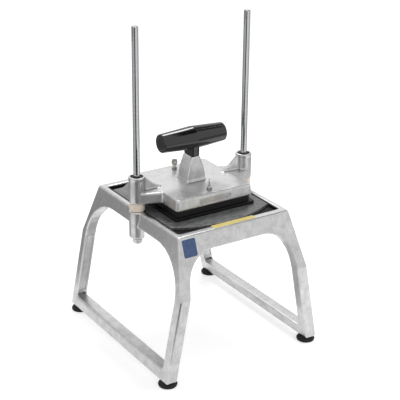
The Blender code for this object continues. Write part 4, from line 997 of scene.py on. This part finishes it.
def add_labels():
    """Two bare labels: a yellow strip on the front rail and a blue patch on the front left leg."""
    sheet = LABEL_HALF_THICKNESS
    outline = oblong(STRIP_HALF_LENGTH, STRIP_HALF_WIDTH, STRIP_CORNER, STRIP_MIDDLE)
    strip = loft([(STAND_TOP_Z - sheet, outline), (STAND_TOP_Z + sheet, outline)])
    add_label("label_strip_yellow", strip, label_yellow)
    slope = math.atan2(KNEE_HALF_DEPTH - TOP_HALF_DEPTH, STAND_TOP_Z - KNEE_Z)
    outline = oblong(PATCH_HALF_WIDTH, PATCH_HALF_HEIGHT / math.cos(slope), PATCH_CORNER)
    patch = loft([(-sheet, outline), (sheet, outline)])
    patch_y = -TOP_HALF_DEPTH - math.tan(slope) * (STAND_TOP_Z - PATCH_Z)
    turn = Matrix.Rotation(math.pi / 2 - slope, 3, "X")
    bmesh.ops.rotate(patch, verts=patch.verts, cent=(0, 0, 0), matrix=turn)
    bmesh.ops.translate(patch, verts=patch.verts, vec=(PATCH_X, patch_y, PATCH_Z))
    add_label("label_patch_blue", patch, label_blue)


def finish_solids():
    """Give every solid its material, for those that keep their own shape."""
    finishes = {
        "ground_steel": ground_steel, "blade_steel": blade_steel, "plated_steel": zinc_steel,
        "blade_frame_grey": deck_nylon, "tray_black": tray_abs, "block_black": block_acetal,
        "grip_black": grip_phenolic, "foot_rubber": foot_rubber, "bumper_rubber": bumper_rubber,
        "bushing_plastic": bushing_acetal, "cast_aluminium": aluminium,
    }
    for part in frame["record"]["subparts"]:
        solid = frame["nodes"][part["node"]]
        solid.data.materials.clear()
        solid.data.materials.append(finishes[part["material_slot"]])


# ---- studio ----

def add_camera():
    """A camera at the photograph's angle."""
    right = Vector(CAMERA_RIGHT).normalized()
    up = Vector(CAMERA_UP).normalized()
    data = bpy.data.cameras.new("view")
    data.lens = CAMERA_LENS
    data.sensor_width = SENSOR_WIDTH
    camera = bpy.data.objects.new("view", data)
    bpy.context.collection.objects.link(camera)
    turn = Matrix((right, up, right.cross(up))).transposed().to_4x4()
    camera.matrix_world = Matrix.Translation(CAMERA_PLACE) @ turn
    bpy.context.scene.camera = camera


def flag(name, body, tone):
    """A studio flag of an even tone, which shows in reflections alone and shades nothing."""
    piece = made(name, body)
    for view in ("camera", "diffuse", "transmission", "volume_scatter", "shadow"):
        setattr(piece, f"visible_{view}", False)
    material, _, shader = new_material(name, Roughness=1.0, Specular_IOR_Level=0.0)
    shader.inputs["Base Color"].default_value = linear("#000000")
    shader.inputs["Emission Color"].default_value = linear(tone)
    shader.inputs["Emission Strength"].default_value = 1.0
    material.cycles.emission_sampling = "NONE"
    piece.data.materials.append(material)


def band(rows):
    """A strip of faces between rows of two places."""
    body = bmesh.new()
    pairs = [[body.verts.new(place) for place in row] for row in rows]
    for first, second in zip(pairs, pairs[1:]):
        body.faces.new((first[0], first[1], second[1], second[0]))
    return body


def lying_flag(name, start, end, near, far, tone):
    """A flag on the floor round the object, between two angles and two distances."""
    rows = []
    for step in range(FLAG_STEPS + 1):
        angle = CAMERA_ANGLE + math.radians(start + (end - start) * step / FLAG_STEPS)
        across, along = math.cos(angle), math.sin(angle)
        rows.append([(reach * across, reach * along, FLAG_LIFT) for reach in (near, far)])
    flag(name, band(rows), tone)


def facing_middle(place, axis):
    """A place whose given axis points at the object."""
    aim = (Vector(OBJECT_MIDDLE) - Vector(place)).to_track_quat(axis, "Y").to_matrix().to_4x4()
    return Matrix.Translation(place) @ aim


def standing_flag(name, middle, width, height, tone):
    """A flag that faces the object."""
    body = bmesh.new()
    bmesh.ops.create_grid(body, x_segments=1, y_segments=1, size=0.5)
    place = facing_middle(middle, "Z") @ Matrix.Diagonal((width, height, 1, 1))
    bmesh.ops.transform(body, matrix=place, verts=body.verts)
    flag(name, body, tone)


def grip_flag(name, start, end, left, right, tone):
    """A bowed flag that the camera sees mirrored in the grip between two angles round its barrel,
    in degrees up from the front."""
    sight = Vector(CAMERA_PLACE).normalized()
    axis = Vector((0, 0, GRIP_AXIS_Z))
    rows = []
    for step in range(FLAG_STEPS + 1):
        angle = math.radians(start + (end - start) * step / FLAG_STEPS)
        skin = Vector((0, -math.cos(angle), math.sin(angle)))
        mirrored = 2 * sight.dot(skin) * skin - sight
        rows.append([
            axis + (mirrored + Vector((offset, 0, 0))) * GRIP_FLAG_REACH
            for offset in (left, right)
        ])
    flag(name, band(rows), tone)


def add_flags():
    """What the photographer had round the object, as far as it shows in the metal and the grip."""
    for make, flags in (
        (lying_flag, LYING_FLAGS), (standing_flag, STANDING_FLAGS), (grip_flag, GRIP_FLAGS),
    ):
        for name, numbers in flags.items():
            make(name, *numbers)


def add_floor():
    """A plain white floor, seen and mirrored a little lighter than it lights the object."""
    bm = bmesh.new()
    bmesh.ops.create_grid(bm, x_segments=1, y_segments=1, size=FLOOR_HALF_SIZE)
    floor = made("floor", bm)
    material, tree, shader = new_material("floor_paper_white", Roughness=0.9)
    shader.inputs["Base Color"].default_value = linear(FLOOR_TONE)
    rays = add_node(tree, "ShaderNodeLightPath", {})
    seen = either(tree, rays.outputs["Is Camera Ray"], rays.outputs["Is Glossy Ray"])
    lift = add_node(tree, "ShaderNodeMath", {0: seen, 1: FLOOR_LIFT}, operation="MULTIPLY")
    shader.inputs["Emission Color"].default_value = linear("#FFFFFF")
    tree.links.new(lift.outputs["Value"], shader.inputs["Emission Strength"])
    floor.data.materials.append(material)


def add_surround():
    """A white surround, which is seen and mirrored white but lights the object less."""
    world = bpy.data.worlds.new("studio")
    world.use_nodes = True
    tree = world.node_tree
    sky = tree.nodes["Background"]
    rays = add_node(tree, "ShaderNodeLightPath", {})
    seen = either(tree, rays.outputs["Is Camera Ray"], rays.outputs["Is Glossy Ray"])
    seen = either(tree, seen, rays.outputs["Is Transmission Ray"])
    level = ranged(tree, seen, 0.0, 1.0, SURROUND_LIGHT, 1.0)
    sky.inputs["Color"].default_value = (1, 1, 1, 1)
    tree.links.new(level, sky.inputs["Strength"])
    bpy.context.scene.world = world


def add_lamps():
    """A softbox behind the grip, which the plate mirrors, and one from the right."""
    for name, (place, size, power, mirrored) in LAMPS.items():
        data = bpy.data.lights.new(name, "AREA")
        data.size = size
        data.energy = power
        lamp = bpy.data.objects.new(name, data)
        bpy.context.collection.objects.link(lamp)
        lamp.matrix_world = facing_middle(place, "-Z")
        lamp.visible_glossy = mirrored


finish_solids()
dress_stand()
dress_head()
dress_rods()
dress_bumpers()
dress_grip()
dress_corners()
dress_bushings()
for name, end in ENDS.items():
    dress_thumb_screw(name, end)
    dress_washer(name, end)
dress_mouldings()
add_labels()
add_camera()
add_floor()
add_surround()
add_lamps()
add_flags()
bpy.context.scene.view_settings.view_transform = "Standard"
